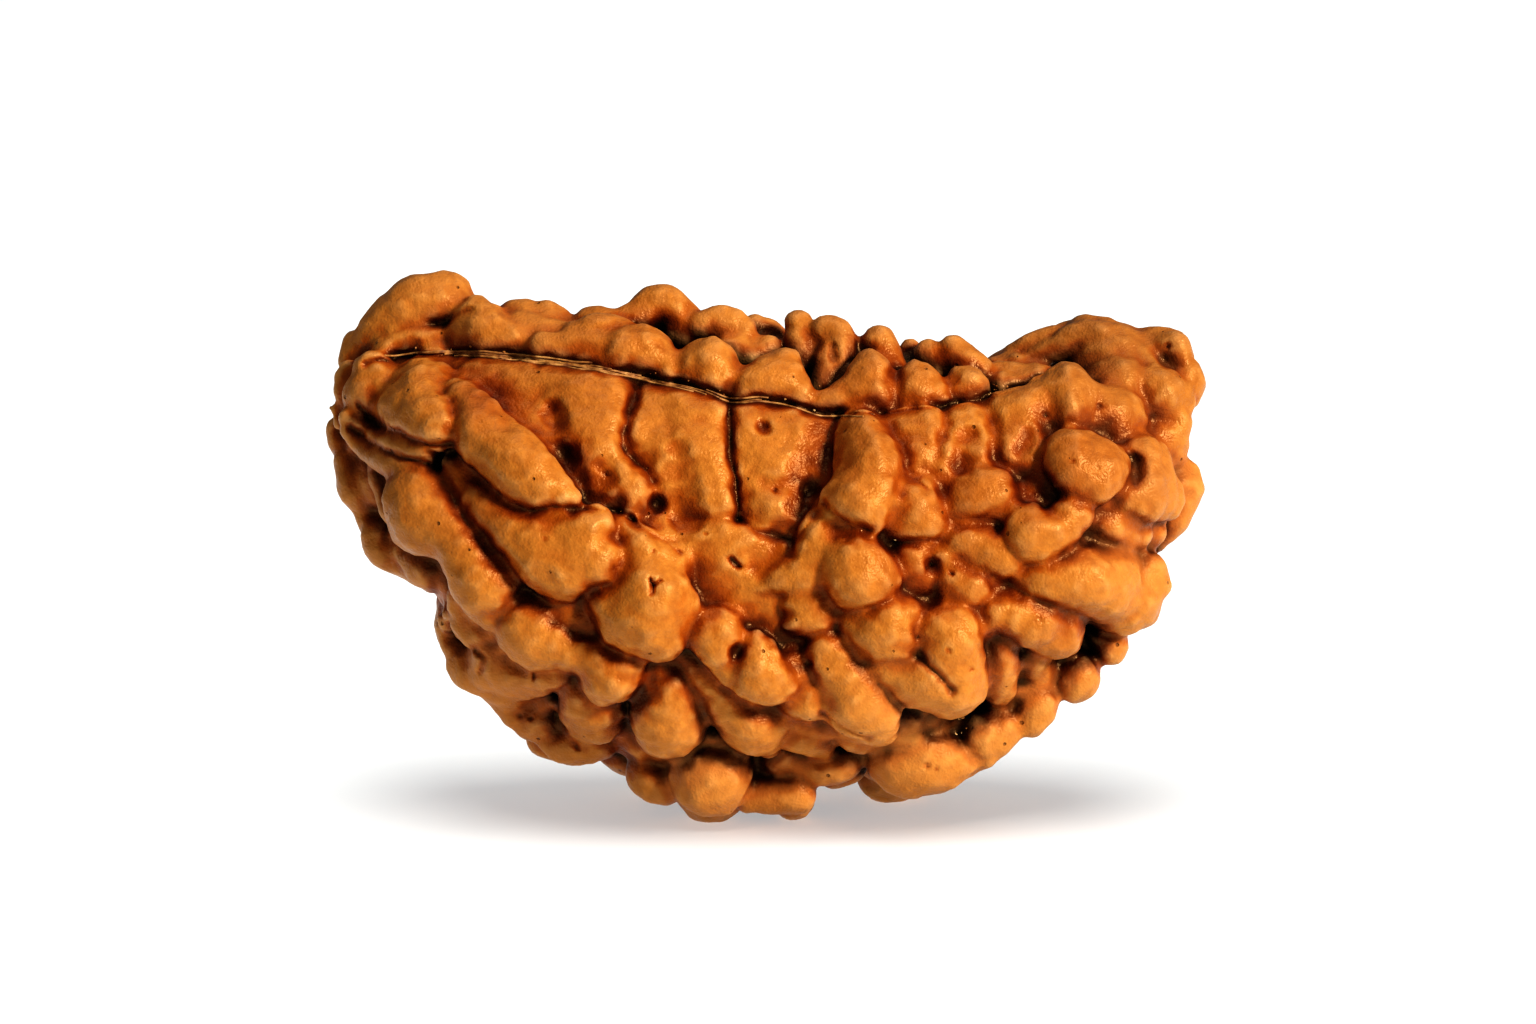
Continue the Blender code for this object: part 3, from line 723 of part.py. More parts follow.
def fuse(mesh, steps, collection):
    """The balls, or a pressed skin, as one clean skin."""
    work = add_object("work", mesh, collection)
    remesh = work.modifiers.new("fuse", "REMESH")
    remesh.mode = "VOXEL"
    remesh.voxel_size = VOXEL * MM
    soften = work.modifiers.new("soften", "SMOOTH")
    soften.factor = SMOOTH_FACTOR
    soften.iterations = steps
    graph = bpy.context.evaluated_depsgraph_get()
    made = bpy.data.meshes.new_from_object(work.evaluated_get(graph))
    bpy.data.objects.remove(work)
    bpy.data.meshes.remove(mesh)
    largest_shell(made)
    return made


def read_points(mesh):
    """The mesh's points in millimetres, and its normals."""
    points = np.empty(len(mesh.vertices) * 3, np.float32)
    mesh.vertices.foreach_get("co", points)
    normals = np.empty(len(mesh.vertices) * 3, np.float32)
    mesh.vertices.foreach_get("normal", normals)
    return points.reshape(-1, 3).astype(float) / MM, normals.reshape(-1, 3).astype(float)


def write_points(mesh, points):
    mesh.vertices.foreach_set("co", (points * MM).astype(np.float32).ravel())
    mesh.update()


def press(mesh, marks):
    """Presses each mark in along the view, as a smooth dent; a negative depth raises it."""
    points, normals = read_points(mesh)
    away = np.array(VIEW_AWAY)
    facing = np.clip(-PRESS_FACING * (normals @ away), 0.0, 1.0)
    seen = np.stack([points[:, 0], points @ np.array(VIEW_UP)], axis=1)
    places = points / STRAY_WAVE
    stray = [[noise.noise(Vector((x, y, z))), noise.noise(Vector((z, x, y)))] for x, y, z in places]
    seen = seen + STRAY * np.array(stray)
    dent = np.zeros(len(points))
    for half_width, depth, course in marks:
        share = np.clip(1.0 - (course_gap(seen, course) / (PRESS_REACH * half_width)) ** 2, 0.0, 1.0)
        dent += depth * share**PRESS_ROUND
    write_points(mesh, points + (dent * facing)[:, None] * away)


def roughen(mesh, height, wave):
    """Uneven growth: the surface rises and falls by up to height over stretches of about wave."""
    points, normals = read_points(mesh)
    rise = np.array([noise.noise(Vector(point / wave)) for point in points])
    write_points(mesh, points + normals * (rise * height)[:, None])


def shell_material():
    """Dried, oiled fruit stone: warm brown, slightly waxy."""
    material = bpy.data.materials.new("rudraksha_shell")
    material.use_nodes = True
    shader = material.node_tree.nodes["Principled BSDF"]
    shader.inputs["Base Color"].default_value = SHELL_COLOUR
    shader.inputs["Roughness"].default_value = SHELL_ROUGHNESS
    shader.inputs["Metallic"].default_value = 0.0
    return material


def ground_cutter(collection):
    """A block whose top is the resting plane."""
    bm = bmesh.new()
    bmesh.ops.create_cube(bm, size=1.0)
    bmesh.ops.scale(bm, vec=GROUND_SIZE, verts=bm.verts)
    bmesh.ops.translate(bm, vec=(0.0, 0.0, -0.5 * GROUND_SIZE[2]), verts=bm.verts)
    mesh = bpy.data.meshes.new("ground_cut")
    bm.to_mesh(mesh)
    bm.free()
    cutter = add_object("ground_cut", mesh, collection)
    cutter.hide_render = True
    cutter.display_type = "WIRE"
    return cutter


def new_collection(name):
    collection = bpy.data.collections.new(name)
    bpy.context.scene.collection.children.link(collection)
    return collection


def grown_balls(core):
    """Every ball of the bead: the seam side, the far side, the underside, the feet and the filling."""
    tree = BVHTree.FromPolygons([v.co for v in core.vertices], [p.vertices[:] for p in core.polygons])
    balls = pillow_balls(tree) + chain_balls(tree)
    for ball in balls:
        ball[3] *= 1.0 + UNEVEN * noise.noise(Vector(ball[:3]) / UNEVEN_WAVE)
    rng = random.Random(SEED)
    balls += [np.array(ball) for ball in SWELLINGS] + back_balls(rng, tree) + under_balls(rng, tree)
    for foot in FEET:
        balls += thread([np.array(ball) for ball in foot])
    return balls


def centre(mesh):
    """Puts the origin under the middle of the bead's box."""
    points, _normals = read_points(mesh)
    points[:, :2] -= 0.5 * (points[:, :2].min(axis=0) + points[:, :2].max(axis=0))
    write_points(mesh, points)


def main():
    clear_scene()
    parts = new_collection("one_mukhi_rudraksha")
    cutters = new_collection("cutters")
    core = core_mesh()
    mesh = fuse(ball_mesh(grown_balls(core), core), SMOOTH_STEPS, parts)
    bpy.data.meshes.remove(core)
    roughen(mesh, GROWTH_HEIGHT, GROWTH_WAVE)
    press(mesh, HOLLOWS + VALLEYS)
    mesh = fuse(mesh, 1, parts)
    centre(mesh)
    mesh.materials.append(shell_material())
    mesh.name = "bead"
    bead = add_object("bead", mesh, parts)
    thin = bead.modifiers.new("thin_out", "DECIMATE")
    thin.ratio = SOLID_TRIANGLES / (2.0 * len(mesh.polygons))
    rest = bead.modifiers.new("resting_flat", "BOOLEAN")
    rest.operation = "DIFFERENCE"
    rest.object = ground_cutter(cutters)
    mesh.shade_smooth()


main()
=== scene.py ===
"""Looks for a one mukhi rudraksha, the half-moon stone of a fruit, standing on its convex edge.

The bead is grown again from its lobes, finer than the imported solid. Pillows and chains of balls on a smooth
half-moon core are fused by a voxel remesh, and hollows, creases and pits are pressed in afterwards. Dry
fibres lie in the seam, and crumbs of dry pulp in the crevices. Lengths in the tables are millimetres.
"""

import math
import random

import bmesh
import bpy
import numpy as np
from mathutils import Matrix, Vector, noise
from mathutils.bvhtree import BVHTree
from mathutils.kdtree import KDTree


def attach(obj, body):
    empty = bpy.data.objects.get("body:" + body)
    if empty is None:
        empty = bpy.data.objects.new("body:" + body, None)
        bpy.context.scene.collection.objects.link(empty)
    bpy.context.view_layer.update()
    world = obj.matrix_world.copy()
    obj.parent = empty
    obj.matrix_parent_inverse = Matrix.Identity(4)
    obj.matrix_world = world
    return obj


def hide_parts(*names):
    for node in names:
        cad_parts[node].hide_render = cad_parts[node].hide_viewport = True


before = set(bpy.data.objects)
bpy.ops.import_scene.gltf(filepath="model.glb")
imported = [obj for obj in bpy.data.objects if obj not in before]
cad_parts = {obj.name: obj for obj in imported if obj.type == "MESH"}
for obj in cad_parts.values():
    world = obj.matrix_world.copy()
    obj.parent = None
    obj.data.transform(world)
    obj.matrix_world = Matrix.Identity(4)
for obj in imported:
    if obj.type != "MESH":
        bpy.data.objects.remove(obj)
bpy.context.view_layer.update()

MM = 0.001

# The core under the lobes: its size, its top edge as x and z, and how its top leans back.
CORE_HALF_LENGTH = 13.4
CORE_HALF_DEPTH = 4.45
CORE_BELLY = 2.4
CORE_TOP = [(-14.0, 15.0), (-11.5, 16.0), (-5.0, 15.8), (-1.0, 15.4), (3.0, 14.9), (7.5, 14.8), (10.5, 15.3),
    (14.0, 15.0)]
CORE_LEAN = 0.38
CORE_LEAN_FROM = 8.0
CORE_LEAN_OVER = 5.0
BELLY_RADIUS = 14.2
CORE_BELLY_RISE = 10.2
# How blunt the core's ends are from above and from the front, and how square its section is.
END_BLUNT_DEPTH = 2.8
END_BLUNT_HEIGHT = 6.0
SECTION_SQUARE = 0.8
# How far the core's skin is moved out before it is fused with the lobes.
CORE_SWELL = 0.28

# The view in which the tables were measured, from a little above.
VIEW_TILT = math.radians(12.0)
VIEW_UP = Vector((0.0, math.sin(VIEW_TILT), math.cos(VIEW_TILT)))
VIEW_AWAY = Vector((0.0, math.cos(VIEW_TILT), -math.sin(VIEW_TILT)))
VIEW_START = 20.0
# Beside the core, how far along the line of sight the nearest pass is looked for.
SIGHT_FROM = 14.0
SIGHT_STEP = 0.25
SIGHT_STEPS = 49

# How finely the bead is made, and the shift that brings the middle of its box over the origin.
FIRST_VOXEL = 0.12
LAST_VOXEL = 0.1
BEAD_TRIANGLES = 190000
SEED = 11
BEAD_SHIFT = Vector((0.025, 0.545, 0.0))
# A ball's size changes by up to UNEVEN from place to place.
UNEVEN = 0.12
UNEVEN_OFTEN = 0.9
CHAIN_SWELL = 1.03
BALL_STEP = 0.28
# The grid on which the pillows are filled with balls, one at every third point each way.
GRID_STEP = 0.1
GRID_RIGHT = 15.6
GRID_LOW = -0.6
GRID_TOP = 19.2
PILLOW_EVERY = 3
PILLOW_SPREAD = 0.06
PILLOW_LEAST = 0.25
ROOT_DEPTH = 0.55
# Gaps up to twice GAP_CLOSED wide go to the nearest lobe, and neighbours overlap by OVERLAP.
GAP_CLOSED = 0.45
OVERLAP = 0.16
OPEN_EDGE = 0.15
OUTLINE_STEP = 0.3
FAR_GAP = 1.5
# Lobes raised more than LEANING stand out most at their lower right end, by LEAN for each millimetre.
LEANING = 0.5
LEAN_WAY = np.array([0.4, -0.92])
LEAN = 0.14
LEAN_MOST = 0.3
# How far an upright lobe leans back for each millimetre of height.
STAND_BACK = 0.35
# A mark pressed in: how far its course strays, its reach over its half width, the round and the sharp shape,
# how fast it fades where the skin turns away from the view, and a hollow's share of its given depth.
STRAY = 0.12
STRAY_OFTEN = 1.4
PRESS_REACH = 1.4
PRESS_ROUND = 1.5
PRESS_SHARP = 1.6
PRESS_FACING = 2.0
HOLLOW_SHARE = 0.55
# Uneven growth, coarse before the marks and fine after them: its height and its wave.
GROWTH = (0.12, 1.3)
FINE_GROWTH = (0.05, 0.45)
# How far the creases between lobes are deepened and the lobes' shoulders raised, each over a few smoothing
# steps. Then the steps and the heights by which a point's edge is read, for the wide and the fine relief.
SHARPEN_GAIN = 0.7
SHARPEN_DEEPEST = -0.25
SHARPEN_HIGHEST = 0.12
SHARPEN_STEPS = 10
WIDE_STEPS = 60
WIDE_RISE = 1.6
FINE_STEPS = 8
FINE_RISE = 0.2
# The lines that feel how closed in a point is: how many, how long, how much they keep to the normal, and how
# far off the skin they start.
SHELTER_LINES = 12
SHELTER_REACH = 1.6
SHELTER_AHEAD = 1.02
SHELTER_START = 0.03
SHELTER_STEPS = 4

# The fibres in the seam: how many, the first few spread evenly, how many points each has, how far it lies
# aside, drifts and waves, how thick it is, how blunt its ends are, and how far it stands off the skin.
FIBRES = 16
FIBRES_SPREAD = 4
FIBRE_STEP = 0.12
FIBRE_POINTS = (16, 60)
FIBRE_ASIDE = 0.1
FIBRE_DRIFT = 0.001
FIBRE_WAVE = 0.05
FIBRE_OFTEN = 1.3
FIBRE_APART = 3.7
FIBRE_THICK = (0.5, 1.2)
FIBRE_BLUNT = 0.4
FIBRE_PROUD = 0.03

# The camera: its sensor, its distance from the bead's plane, how much of that plane is as wide as the frame,
# and the frame's middle, right of the bead's middle and up in the view. The lamps aim at LAMP_AIM's height.
SENSOR = 36.0
CAMERA_DISTANCE = 350.0
FRAME_WIDTH = 52.97
FRAME_CENTRE = (0.1, 10.34)
LAMP_AIM = 9.0

# Every table below is as seen from the seam side: distance right of the middle, then height in the view.
# A pillow is a lobe with an outline: its name, its lift off the core, its thickness and the outline.
PILLOWS = [
    ("crown", -0.5, 1.25, [(-14.13, 16.23), (-14.0, 16.78), (-13.5, 17.4), (-13.0, 17.9), (-12.4, 18.3),
        (-11.7, 18.52), (-11.0, 18.62), (-10.45, 18.5), (-10.05, 18.1), (-9.85, 17.6), (-9.95, 17.0),
        (-10.6, 16.6), (-11.6, 16.3), (-12.7, 16.0), (-13.6, 15.6), (-14.06, 15.7)]),
    ("rim", 0.45, 0.85, [(-13.6, 15.5), (-13.35, 16.1), (-12.7, 16.55), (-11.85, 16.65), (-11.2, 16.75),
        (-10.6, 17.15), (-10.1, 17.55), (-9.7, 17.55), (-9.3, 17.3), (-8.8, 16.9), (-8.2, 16.55),
        (-7.2, 16.3), (-6.1, 16.35), (-5.1, 16.5), (-4.4, 16.65), (-3.8, 16.5), (-3.3, 16),
        (-3.1, 15.5), (-3.1, 14.8), (-3.9, 14.98), (-5.3, 15.2), (-7, 15.4), (-9, 15.62),
        (-10.3, 15.72), (-11.7, 15.68), (-12.75, 15.55)]),
    ("rim_wall", 0.3, 0.6, [(-10.0, 15.8), (-9.7, 17.2), (-9.0, 17.0), (-8.2, 17.1), (-7.3, 16.9),
        (-6.5, 16.7), (-5.6, 16.9), (-4.7, 16.75), (-4.2, 16.2), (-4.2, 15.3), (-7.0, 15.5)]),
    ("shoulder", -0.9, 0.9, [(-9, 15.8), (-8.8, 16.8), (-7.8, 17.05), (-6.5, 16.85), (-5, 16.95),
        (-3.8, 17.5), (-2.6, 16.95), (-1.3, 17), (-0.4, 16.7), (0.6, 16.3), (1.6, 16.3), (2.4, 16.5),
        (3.3, 15.9), (4.2, 15.9), (5.2, 15.6), (6.4, 15.6), (7.4, 15.1), (7.5, 14.4), (6, 14.2),
        (4, 14.1), (2, 14.2), (0, 14.5), (-2, 14.9), (-4, 15.2), (-7, 15.6)]),
    ("rise_a", 0.45, 0.8, [(-3.02, 15.5), (-2.55, 15.8), (-2.0, 16.12), (-1.55, 16.0), (-1.15, 15.65),
        (-1.05, 15.15), (-1.05, 14.55), (-1.45, 14.45), (-2.15, 14.6), (-2.9, 14.8)]),
    ("rise_b", 0.4, 0.85, [(-1.0, 15.05), (-0.4, 15.3), (0.2, 15.65), (0.74, 15.85), (1.05, 15.6),
        (1.32, 14.75), (1.65, 13.85), (1.0, 14.0), (0.0, 14.15), (-0.75, 14.15), (-1.02, 14.5)]),
    ("rise_c", 0.4, 0.85, [(1.68, 14.15), (2.3, 14.45), (2.8, 14.9), (3.15, 15.5), (3.55, 15.8),
        (4.0, 15.6), (4.27, 15.0), (4.4, 14.3), (4.38, 13.8), (3.65, 13.7), (2.6, 13.7), (1.8, 13.75)]),
    ("rise_d", 0.4, 0.75, [(4.48, 14.45), (4.7, 15.05), (5.15, 15.45), (5.65, 15.15), (6.05, 14.6),
        (6.16, 13.95), (5.4, 13.8), (4.55, 13.85)]),
    ("rise_e", 0.4, 0.65, [(6.25, 14.45), (6.4, 15.0), (6.85, 15.28), (7.35, 15.0), (7.58, 14.5),
        (7.2, 14.2), (6.65, 14.05), (6.25, 14.05)]),
    ("flap", 1.0, 0.95, [(-14.3, 14.57), (-13.8, 15.0), (-13.1, 15.12), (-12.7, 15.3), (-11.7, 15.4),
        (-11.0, 15.26), (-10.65, 14.9), (-10.95, 14.5), (-10.9, 14.1), (-10.6, 13.75), (-10.4, 13.3),
        (-10.45, 12.9), (-10.9, 12.66), (-11.7, 12.7), (-12.4, 12.95), (-13.05, 13.3), (-13.45, 13.8),
        (-13.86, 14.2)]),
    ("finger_a", 0.95, 1.2, [(-12.75, 11.45), (-12.06, 11.75), (-11.3, 11.66), (-10.88, 11.04),
        (-10.3, 10.2), (-9.5, 9.35), (-8.8, 8.45), (-8.4, 7.9), (-8.65, 7.45), (-9.0, 7.1),
        (-9.05, 6.4), (-9.65, 6.68), (-10.36, 7.45), (-10.64, 8.23), (-11.0, 8.86), (-11.85, 9.07),
        (-12.54, 9.56), (-12.75, 10.2), (-12.85, 10.8)]),
    ("finger_b", 1.0, 1.15, [(-9.0, 7.0), (-8.46, 7.45), (-7.75, 7.66), (-7.2, 7.45), (-6.85, 6.82),
        (-6.2, 6.26), (-5.3, 5.83), (-4.45, 5.55), (-4.16, 5.27), (-4.23, 4.85), (-4.58, 4.28),
        (-5.15, 3.9), (-5.64, 3.93), (-6.0, 4.43), (-6.27, 5.0), (-6.9, 5.16), (-7.96, 5.2),
        (-8.67, 5.62), (-8.95, 6.18)]),
    ("finger_c", 1.15, 0.95, [(-10.88, 14.57), (-10.46, 14.77), (-9.77, 14.43), (-9.22, 13.94),
        (-8.8, 13.46), (-7.9, 12.84), (-7.2, 12.0), (-6.65, 11.24), (-6.24, 10.62), (-6.45, 10.38),
        (-7.2, 10.38), (-7.9, 10.5), (-8.52, 10.83), (-9.29, 11.52), (-10.05, 12.14), (-10.4, 12.63),
        (-10.4, 13.1), (-10.53, 13.67), (-10.88, 14.08)]),
    ("finger_d", 1.05, 1, [(-10, 11.35), (-9.45, 11.15), (-8.5, 10.5), (-7.75, 10.28), (-6.9, 10.35),
        (-6.1, 10.4), (-5.4, 10.35), (-5.15, 9.9), (-5.3, 9.45), (-5.05, 9.1), (-4.95, 8.65),
        (-5.15, 8.15), (-5.65, 8), (-6.05, 8.05), (-6.2, 7.7), (-6.6, 7.5), (-7.25, 7.55),
        (-7.75, 7.85), (-8.5, 8.6), (-9.3, 9.55), (-10, 10.4), (-10.3, 11)]),
    ("tongue_top", 0.4, 1, [(-4.6, 10.2), (-4.2, 9.8), (-3.5, 9.45), (-2.7, 9.05), (-2.6, 8.4),
        (-2.5, 7.7), (-2.8, 7.2), (-3.8, 7), (-4.9, 7.2), (-5.03, 7.96), (-4.96, 8.42), (-4.96, 9),
        (-5.1, 9.5), (-5.2, 10.1)]),
    ("tongue", 1.1, 1.25, [(-4.9, 8), (-4.6, 8.5), (-3.9, 8.75), (-3.2, 8.5), (-2.7, 8), (-2.5, 7.6),
        (-2.35, 7.2), (-2.5, 6.8), (-2.75, 6.44), (-2.8, 6), (-3.13, 5.6), (-3.62, 5.42), (-4.25, 5.6),
        (-5.1, 5.95), (-5.6, 6.6), (-5.94, 7.29), (-5.9, 7.78)]),
    ("heel_d", -0.9, 0.9, [(-13.73, 9.98), (-13.8, 9.35), (-13.45, 8.65), (-12.9, 8.3), (-12.26, 7.94),
        (-11.7, 7.66), (-11.13, 7.8), (-10.78, 8.0), (-10.85, 8.65), (-11.06, 8.9), (-11.97, 9.07),
        (-12.54, 9.56), (-12.82, 10.2), (-13.38, 10.13)]),
    ("heel_f", 0.25, 0.85, [(-10.71, 7.8), (-10.64, 7.1), (-10.36, 6.26), (-9.72, 5.83), (-9.1, 5.97),
        (-9.02, 6.4), (-9.7, 6.75), (-10.25, 7.35), (-10.5, 7.9)]),
    ("heel_h", 0.55, 1.1, [(-10.85, 7.1), (-11.16, 6.68), (-11.16, 5.97), (-10.92, 5.34),
        (-10.71, 4.64), (-10.2, 4.2), (-9.37, 3.97), (-8.31, 4.04), (-7.54, 4.2), (-6.91, 4.57),
        (-6.56, 5.0), (-7.6, 5.2), (-8.5, 5.34), (-8.95, 5.9), (-9.93, 5.83), (-10.36, 6.11),
        (-10.64, 6.82)]),
    ("heel_i", 0.35, 0.95, [(-9.35, 4.1), (-9.2, 3.5), (-8.7, 2.95), (-8, 2.62), (-7.3, 2.7), (-7, 3.2),
        (-7, 3.8), (-7.3, 4.2), (-8.3, 4.2)]),
    ("heel_k", 0.5, 0.85, [(-6.7, 4.6), (-6.84, 4.0), (-6.9, 3.37), (-6.7, 2.9), (-5.92, 2.46),
        (-5.3, 2.6), (-5.0, 3.16), (-4.87, 3.72), (-5.15, 4.0), (-5.64, 4.1), (-6.0, 4.5)]),
    ("heel_j", 0.35, 0.75, [(-7.75, 2.75), (-7.4, 2.2), (-6.9, 1.88), (-6.2, 1.85), (-5.4, 2.1),
        (-5.1, 2.55), (-5.5, 2.9), (-6.4, 3), (-7.2, 3)]),
    ("panel_a", -0.22, 0.85, [(-10.7, 15.4), (-9.0, 15.45), (-7.5, 15.3), (-6.0, 15.1), (-5.0, 14.95),
        (-4.55, 14.78), (-4.5, 13.9), (-4.78, 13.2), (-4.75, 12.4), (-4.15, 11.87), (-3.83, 11.35),
        (-3.78, 10.85), (-4.1, 10.15), (-4.5, 9.95), (-5.1, 10.35), (-6.1, 10.5), (-7.0, 10.9),
        (-7.9, 11.9), (-9.2, 13.0), (-10.4, 14.0)]),
    ("panel_b", -0.35, 0.85, [(-4.3, 14.65), (-3.3, 14.5), (-2.2, 14.3), (-1.15, 14.1), (-1.05, 13.0),
        (-0.97, 12.0), (-0.88, 11.2), (-0.78, 10.1), (-1.2, 9.7), (-2.2, 9.7), (-3.2, 9.9),
        (-3.75, 10.1), (-3.75, 10.9), (-3.85, 11.4), (-4.15, 11.9), (-4.75, 12.5), (-4.8, 13.1),
        (-4.5, 13.9)]),
    ("panel_c", -0.35, 0.85, [(-1.35, 14.1), (0.0, 14.1), (1.0, 13.9), (1.7, 13.6), (3.1, 13.5),
        (3.2, 13.0), (3.1, 12.2), (2.8, 11.4), (2.2, 10.8), (1.4, 10.2), (0.9, 9.6), (0.0, 9.6),
        (-0.85, 9.95), (-1.05, 10.4), (-1.2, 11.3), (-1.3, 12.2)]),
    ("web", -0.15, 0.8, [(-4.2, 10.2), (-3.2, 10.2), (-2.2, 10), (-1, 10), (0, 9.8), (0.9, 9.7),
        (1.6, 10.4), (2.1, 10.9), (2.9, 10.3), (3.6, 9.6), (3, 8.6), (2.4, 8), (2.6, 7), (2.4, 6.2),
        (1.4, 5.6), (0.5, 5.3), (-0.4, 5.6), (-1.3, 6), (-2.1, 6.4), (-2.7, 7.2), (-2.9, 8), (-3, 8.7),
        (-3.4, 9.3), (-4, 9.8)]),
    ("web_edge", -0.1, 0.75, [(-2.6, 8.7), (-2.28, 9.07), (-1.75, 9.05), (-1.3, 8.55), (-0.8, 8.2),
        (-0.2, 7.9), (-0.4, 7.3), (-1.1, 7.0), (-1.6, 7.1), (-2.2, 7.45), (-2.55, 8.0)]),
    ("apron", 0.45, 0.7, [(2, 10.68), (2.75, 10.35), (3.6, 9.85), (3.4, 9.4), (2.7, 9.2), (2.5, 8.6),
        (2.3, 7.9), (2.1, 7.5), (1.6, 7.3), (1, 7.6), (0.2, 7.75), (-0.65, 7.5), (-0.15, 8.05),
        (0.5, 8.55), (0.9, 8.95), (1.05, 9.35)]),
    ("worm", 0.95, 0.95, [(2.85, 13.68), (3.5, 13.7), (3.95, 13.2), (4.15, 12.8), (4.42, 12.2),
        (4.5, 11.67), (4.3, 10.8), (4.05, 10.1), (3.6, 9.65), (2.8, 9.9), (1.95, 10.6), (2.35, 11.4),
        (2.55, 12.36), (2.55, 13.06)]),
    ("knob_c", 0.85, 1.05, [(2.2, 9.3), (2.7, 9.62), (3.3, 9.62), (3.8, 9.3), (4.2, 8.67), (4.4, 8.14),
        (4.27, 7.7), (3.66, 7.26), (2.95, 7.1), (2.42, 7.35), (2.1, 7.97), (2.15, 8.6)]),
    ("knob_d", 0.5, 0.75, [(0.8, 7.57), (1.5, 7.85), (2.08, 7.57), (2.36, 6.94), (2.15, 6.52),
        (1.66, 6.28), (1.02, 6.3), (0.7, 6.7)]),
    ("twin_left", 1.0, 0.95, [(-2.57, 6.73), (-2.0, 6.94), (-1.5, 7.04), (-1.1, 6.8), (-0.84, 6.45),
        (-0.9, 5.95), (-0.9, 5.3), (-0.6, 4.7), (-1.0, 4.35), (-1.6, 4.9), (-2.15, 5.55), (-2.6, 5.95),
        (-2.7, 6.4)]),
    ("twin_right", 1.15, 1.0, [(-0.85, 5.9), (-0.67, 6.23), (-0.3, 6.27), (0.25, 5.8), (0.6, 5.25),
        (0.9, 4.6), (0.75, 4.1), (0.2, 3.95), (-0.35, 4.0), (-1.1, 4.45), (-1.1, 5.2)]),
    ("leg_b", 0.75, 0.75, [(0.6, 5.55), (0.88, 5.74), (1.3, 5.6), (1.45, 5.0), (1.95, 4.33),
        (2.15, 3.84), (1.8, 3.42), (1.3, 3.38), (0.6, 3.84), (0.95, 4.54), (0.7, 5.2)]),
    ("leg_a", 1.0, 1.05, [(1.45, 5.6), (1.8, 6.16), (2.3, 6.3), (2.8, 5.85), (3.48, 5.0), (4.0, 4.45),
        (4.3, 3.92), (4.45, 3.22), (4.27, 2.6), (3.9, 2.45), (3.2, 2.7), (2.5, 3.0), (2.08, 3.6),
        (2.08, 4.26), (1.75, 4.9)]),
    ("leg_a_toe", 0.5, 0.7, [(2.4, 3.1), (2.7, 2.4), (3.3, 1.95), (3.8, 1.9), (3.95, 2.3), (3.8, 2.9),
        (3.1, 3.2)]),
    ("leg_c", 0.5, 1.05, [(-2.85, 5.46), (-2.14, 5.46), (-1.44, 4.7), (-0.74, 4.2), (0.1, 3.95),
        (0.67, 3.7), (0.92, 3.35), (0.74, 2.86), (0.4, 2.36), (-0.3, 2.15), (-0.88, 2.36),
        (-1.44, 2.86), (-1.93, 3.63), (-2.2, 4.4), (-2.64, 5.04)]),
    ("leg_d", 0.6, 1.1, [(-3.9, 5.39), (-3.34, 5.42), (-2.85, 4.9), (-2.42, 4.2), (-2.2, 3.5),
        (-2.14, 3.0), (-2.57, 2.36), (-3.2, 1.94), (-3.76, 2.0), (-4.18, 2.43), (-4.36, 3.07),
        (-4.3, 3.84), (-4.1, 4.7)]),
    ("bulb_back", 0.35, 0.5, [(4.2, 7.5), (4.7, 7.5), (5.6, 7.25), (6.5, 7.25), (7.1, 6.9), (7.2, 6.4),
        (6.8, 6.6), (5.9, 6.9), (4.8, 7.0)]),
    ("bulb_left", 0.95, 1.05, [(2.69, 6.47), (2.86, 6.9), (3.39, 7.17), (4.0, 7.44), (4.8, 7.35),
        (5.24, 6.82), (5.06, 6.38), (5.2, 5.85), (4.9, 5.46), (4.18, 5.33), (3.66, 5.37),
        (3.04, 5.85)]),
    ("bulb_right", 1.05, 1.15, [(5.2, 6.8), (5.9, 7.1), (6.65, 7.0), (7.13, 6.45), (7.26, 5.6),
        (7.4, 4.8), (7.35, 4.25), (7.0, 3.75), (6.45, 3.5), (5.95, 3.55), (5.2, 3.9), (4.3, 4.4),
        (3.5, 4.95), (3.5, 5.4), (4.2, 5.6), (5.0, 5.7), (5.2, 6.2)]),
    ("right_a", 0.3, 0.8, [(3.79, 13.34), (4.18, 13.6), (5.0, 13.75), (5.68, 13.75), (6.0, 13.43),
        (6.0, 12.72), (5.77, 12.02), (5.5, 11.4), (4.9, 11.5), (4.54, 11.84), (4.27, 12.55)]),
    ("right_b", 0.35, 0.65, [(6.21, 13.69), (6.82, 14.02), (7.35, 14.02), (7.6, 13.43), (7.6, 12.55),
        (7.53, 11.84), (6.95, 11.6), (6.65, 11.9), (6.29, 11.32), (5.85, 10.88), (5.57, 11.23),
        (5.7, 11.84), (6.05, 12.72), (6.14, 13.25)]),
    ("right_c", 0.35, 0.95, [(4.3, 11.9), (5, 11.6), (5.65, 11.15), (5.95, 10.6), (6.15, 9.9),
        (5.9, 9.36), (5, 9.3), (4.1, 9.28), (3.65, 9.6), (3.95, 10.44), (4.2, 11.14)]),
    ("right_d", 0.2, 0.7, [(4.0, 9.02), (4.54, 9.24), (5.4, 9.25), (5.55, 8.6), (5.85, 8.19),
        (5.5, 7.61), (4.8, 7.7), (4.3, 7.8), (4.4, 8.14)]),
    ("right_e", 0.3, 0.8, [(5.59, 8.67), (5.9, 9.2), (6.47, 8.7), (7.17, 8.41), (7.88, 7.97),
        (7.53, 7.44), (7.0, 7.17), (6.29, 7.17), (5.6, 7.53), (5.85, 8.05)]),
    ("right_f", 0.45, 0.75, [(6.2, 9.6), (6.47, 8.93), (7.17, 8.58), (7.96, 8.05), (8.4, 8.23),
